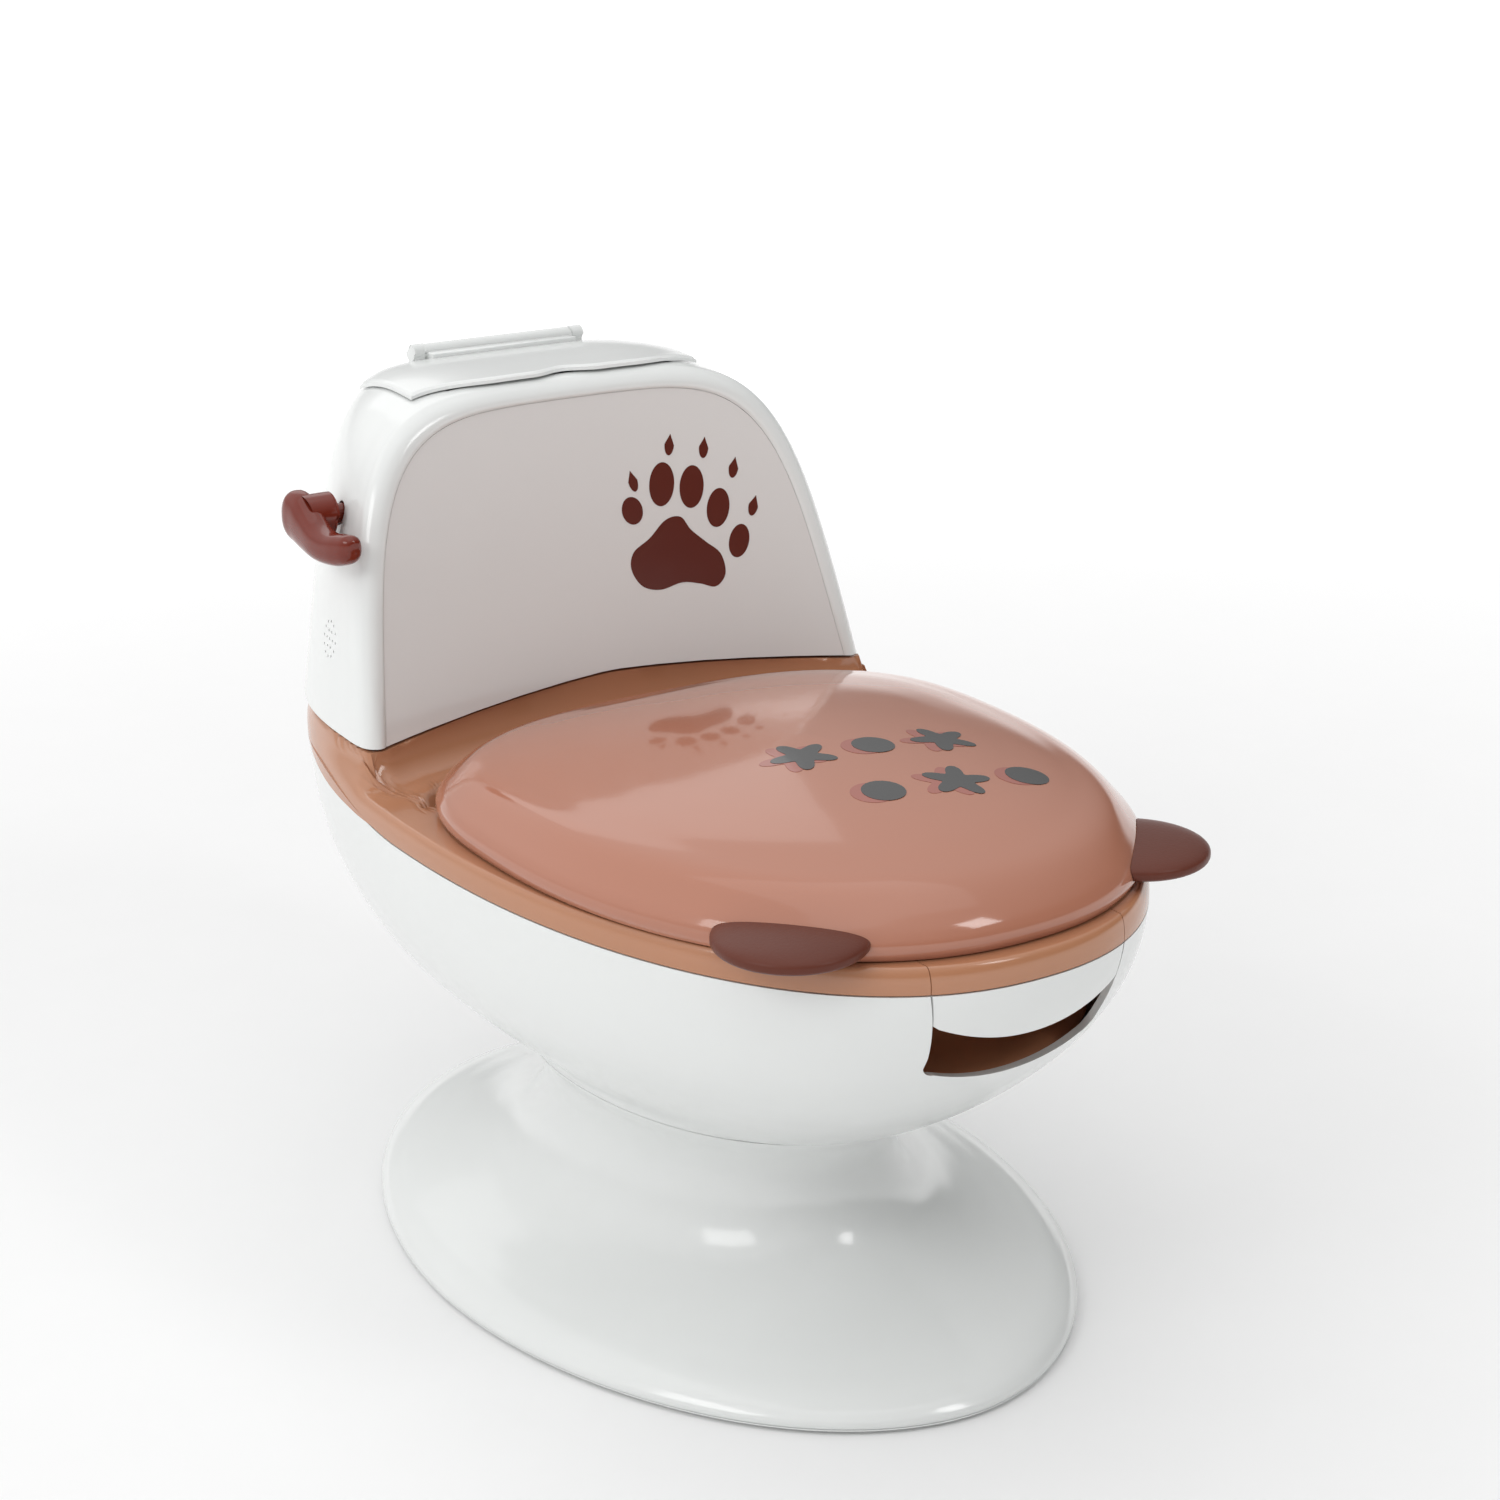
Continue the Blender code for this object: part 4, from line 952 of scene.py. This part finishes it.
def closed_curve(points):
    """Smooth closed outline through the points."""
    outline = []
    for before, start, end, after in zip(*[np.roll(points, shift, 0) for shift in (1, 0, -1, -2)]):
        for t in np.arange(CURVE_STEPS) / CURVE_STEPS:
            outline.append(tuple(0.5 * (2 * start + (end - before) * t
                                        + (2 * before - 5 * start + 4 * end - after) * t**2
                                        + (3 * start - before - 3 * end + after) * t**3)))
    return outline


def oval(centre, half, tilt, point=0.0):
    """Ellipse turned by tilt; point above 0 draws its far end out into a tip."""
    outline = []
    for k in range(OVAL_STEPS):
        angle = 2 * math.pi * k / OVAL_STEPS
        u = half[0] * math.cos(angle)
        v = half[1] * math.sin(angle) * (1 - point * max(0.0, math.cos(angle)))
        outline.append((centre[0] + u * math.cos(tilt) - v * math.sin(tilt),
                        centre[1] + u * math.sin(tilt) + v * math.cos(tilt)))
    return outline


def make_paw():
    """A plain paw print: one broad pad, five toes on an arc and a claw over each."""
    def on_face(x, z, lift):
        height = z
        for _ in range(FACE_PASSES):
            height = z - (lift_foot(x, height, face_edge(x)[1] + TANK_SEAT) - height)
        return x, panel_y(x, height) - lift, z

    shapes = [closed_curve(PAW_PAD)]
    for (toe_x, toe_z, half, wide, turn), (claw_x, claw_z) in zip(PAW_TOES, PAW_CLAWS):
        shapes.append(oval((toe_x, toe_z), (half, wide), math.radians(turn)))
        shapes.append(oval((claw_x, claw_z), CLAW_HALF, math.radians(turn), CLAW_POINT))
    paw = settle(from_bmesh("paw_print", merged([print_shape(shape, on_face) for shape in shapes])), 0.9)
    finish_piece(paw, "brown_gloss", "root", material=PAW_INK)


def star(centre, size, turn):
    """Rounded star outline."""
    outline = []
    for k in range(STAR_STEPS):
        angle = 2 * math.pi * k / STAR_STEPS
        reach = size * (1 - STAR_SWELL + STAR_SWELL * math.cos(STAR_POINTS * angle))
        outline.append((centre[0] + reach * math.cos(angle + turn),
                        centre[1] + reach * math.sin(angle + turn)))
    return outline


def motif_shape(row, k, x, y):
    """Stars and dots by turns; each star in a row is turned a little further."""
    if (k + row) % 2:
        return oval((x, y), (DOT_HALF, DOT_HALF), 0.0)
    return star((x, y), STAR_SIZE, 0.5 + 0.6 * k)


def make_lid_motif(lid):
    """Two rows of stars and dots with an offset shadow print under them."""
    tree = BVHTree.FromObject(lid, bpy.context.evaluated_depsgraph_get())

    def on_lid(x, y, lift):
        hit = tree.ray_cast(Vector((x, y, ABOVE_LID)), Vector((0, 0, -1)))[0]
        return x, y, hit.z - DATUM_Z + lift

    prints, shadows = [], []
    for row, (row_y, places) in enumerate(MOTIF_ROWS):
        for k, x in enumerate(places):
            y = row_y - MOTIF_SLANT * x
            front = motif_shape(row, k, x, y)
            behind = motif_shape(row, k, x + SHADOW_SHIFT[0], y + SHADOW_SHIFT[1])
            prints.append(print_shape(front, lambda u, v, lift: on_lid(u, v, lift * 2)))
            shadows.append(print_shape(behind, on_lid))
    for name, shapes, ink in (("lid_motif", prints, DARK_INK), ("lid_motif_shadow", shadows, SHADOW_INK)):
        motif = settle(from_bmesh(name, merged(shapes)), 0.9)
        finish_piece(motif, "lid_plastic", "lid", material=ink)


# ---- camera, light and floor ----
AIM = Vector((0, 0, 0.16))
# name, azimuth and elevation in degrees, distance, size, watts
SOFTBOXES = (("key_left", -74, 36, 1.9, (0.80, 0.50), 4.6), ("key_right", 24, 42, 1.9, (0.36, 0.46), 3.4),
             ("top", 0, 87, 2.2, (2.0, 2.0), 5.0), ("back_fill", 165, 35, 2.4, (1.4, 0.9), 2.0))
SKY_POLE = (-0.30, 0.30, 0.905)
SKY_DARK = (0.02, 0.03)      # place on the ramp and brightness
SKY_LIGHT = (0.80, 1.1)
HORIZON = (0.07, 0.13)       # rise over which the white band fades into the sky
FLOOR_RADIUS = 14.0
FLOOR_FADE = (0.15, 2.2)     # the floor's glow grows between these distances
FLOOR_GLOW = (0.05, 0.42)


def direction(azimuth, elevation):
    return Vector((math.sin(azimuth) * math.cos(elevation), -math.cos(azimuth) * math.cos(elevation),
                   math.sin(elevation)))


def make_camera():
    data = bpy.data.cameras.new("camera")
    data.lens = CAMERA_LENS
    data.sensor_width = 36.0
    data.clip_end = 60.0
    camera = bpy.data.objects.new("camera", data)
    camera.location = CAMERA_AT
    back = direction(CAMERA_AZIMUTH, CAMERA_ELEVATION)
    camera.rotation_euler = back.to_track_quat("Z", "Y").to_euler()
    bpy.context.scene.collection.objects.link(camera)
    bpy.context.scene.camera = camera


def softbox(name, azimuth, elevation, distance, size, watts):
    data = bpy.data.lights.new(name, "AREA")
    data.shape = "RECTANGLE"
    data.size, data.size_y = size
    data.energy = watts
    lamp = bpy.data.objects.new(name, data)
    away = direction(math.radians(azimuth), math.radians(elevation))
    lamp.location = AIM + away * distance
    lamp.rotation_euler = away.to_track_quat("Z", "Y").to_euler()
    bpy.context.scene.collection.objects.link(lamp)


def make_sky():
    """Sky from dark in front to light at its pole, with a white band along the horizon for low views."""
    world = bpy.data.worlds.new("studio")
    world.use_nodes = True
    tree = world.node_tree
    place = node(tree, "ShaderNodeTexCoord")
    lean = node(tree, "ShaderNodeVectorMath", operation="DOT_PRODUCT")
    lean.inputs[1].default_value = SKY_POLE
    ramp = node(tree, "ShaderNodeValToRGB")
    for stop, (position, level) in zip(ramp.color_ramp.elements, (SKY_DARK, SKY_LIGHT)):
        stop.position, stop.color = position, (level, level, level, 1)
    height = node(tree, "ShaderNodeSeparateXYZ")
    band = ranged(tree, HORIZON, (1.0, 0.0))
    both = node(tree, "ShaderNodeMix", data_type="RGBA")
    both.inputs[MIX_B].default_value = (1, 1, 1, 1)
    link = tree.links.new
    link(place.outputs["Generated"], lean.inputs[0])
    link(lean.outputs["Value"], ramp.inputs[0])
    link(place.outputs["Generated"], height.inputs[0])
    link(height.outputs["Z"], band.inputs["Value"])
    link(band.outputs["Result"], both.inputs[0])
    link(ramp.outputs["Color"], both.inputs[MIX_A])
    link(both.outputs[MIX_RESULT], tree.nodes["Background"].inputs["Color"])
    bpy.context.scene.world = world


def make_floor():
    """Plain round floor whose faint glow grows with the distance from the chair."""
    bm = bmesh.new()
    bmesh.ops.create_circle(bm, cap_ends=True, radius=FLOOR_RADIUS, segments=96)
    mesh = bpy.data.meshes.new("floor")
    bm.to_mesh(mesh)
    bm.free()
    floor = bpy.data.objects.new("floor", mesh)
    paint = moulded("floor_paint", (0.86, 0.86, 0.86), 0.75, mottling=0.01, peel=0.0, shine=0.1)
    tree = paint.node_tree
    shader = tree.nodes["Principled BSDF"]
    shader.inputs["Emission Color"].default_value = (1, 1, 1, 1)
    place = node(tree, "ShaderNodeTexCoord")
    distance = node(tree, "ShaderNodeVectorMath", operation="LENGTH")
    glow = ranged(tree, FLOOR_FADE, FLOOR_GLOW, interpolation_type="SMOOTHSTEP")
    tree.links.new(place.outputs["Object"], distance.inputs[0])
    tree.links.new(distance.outputs["Value"], glow.inputs["Value"])
    tree.links.new(glow.outputs["Result"], shader.inputs["Emission Strength"])
    mesh.materials.append(paint)
    bpy.context.scene.collection.objects.link(floor)


def make_studio():
    for setting in SOFTBOXES:
        softbox(*setting)
    make_sky()
    make_floor()
    bpy.context.scene.view_settings.view_transform = "Standard"


def dress_cad_nodes():
    """Give every part node that still shows its procedural material."""
    slots = {row["node"]: row["material_slot"] for row in frame["record"]["subparts"]}
    for name, obj in NODES.items():
        obj.data.materials.clear()
        obj.data.materials.append(MATERIALS[slots[name]])


make_camera()
dress_cad_nodes()
make_base()
make_pedestal()
make_bowl()
make_deck()
make_tubs()
lid_piece = make_lid()
make_ears()
make_tank()
make_lugs()
make_panel()
make_tank_lid()
make_lever()
make_paw()
make_lid_motif(lid_piece)
make_studio()
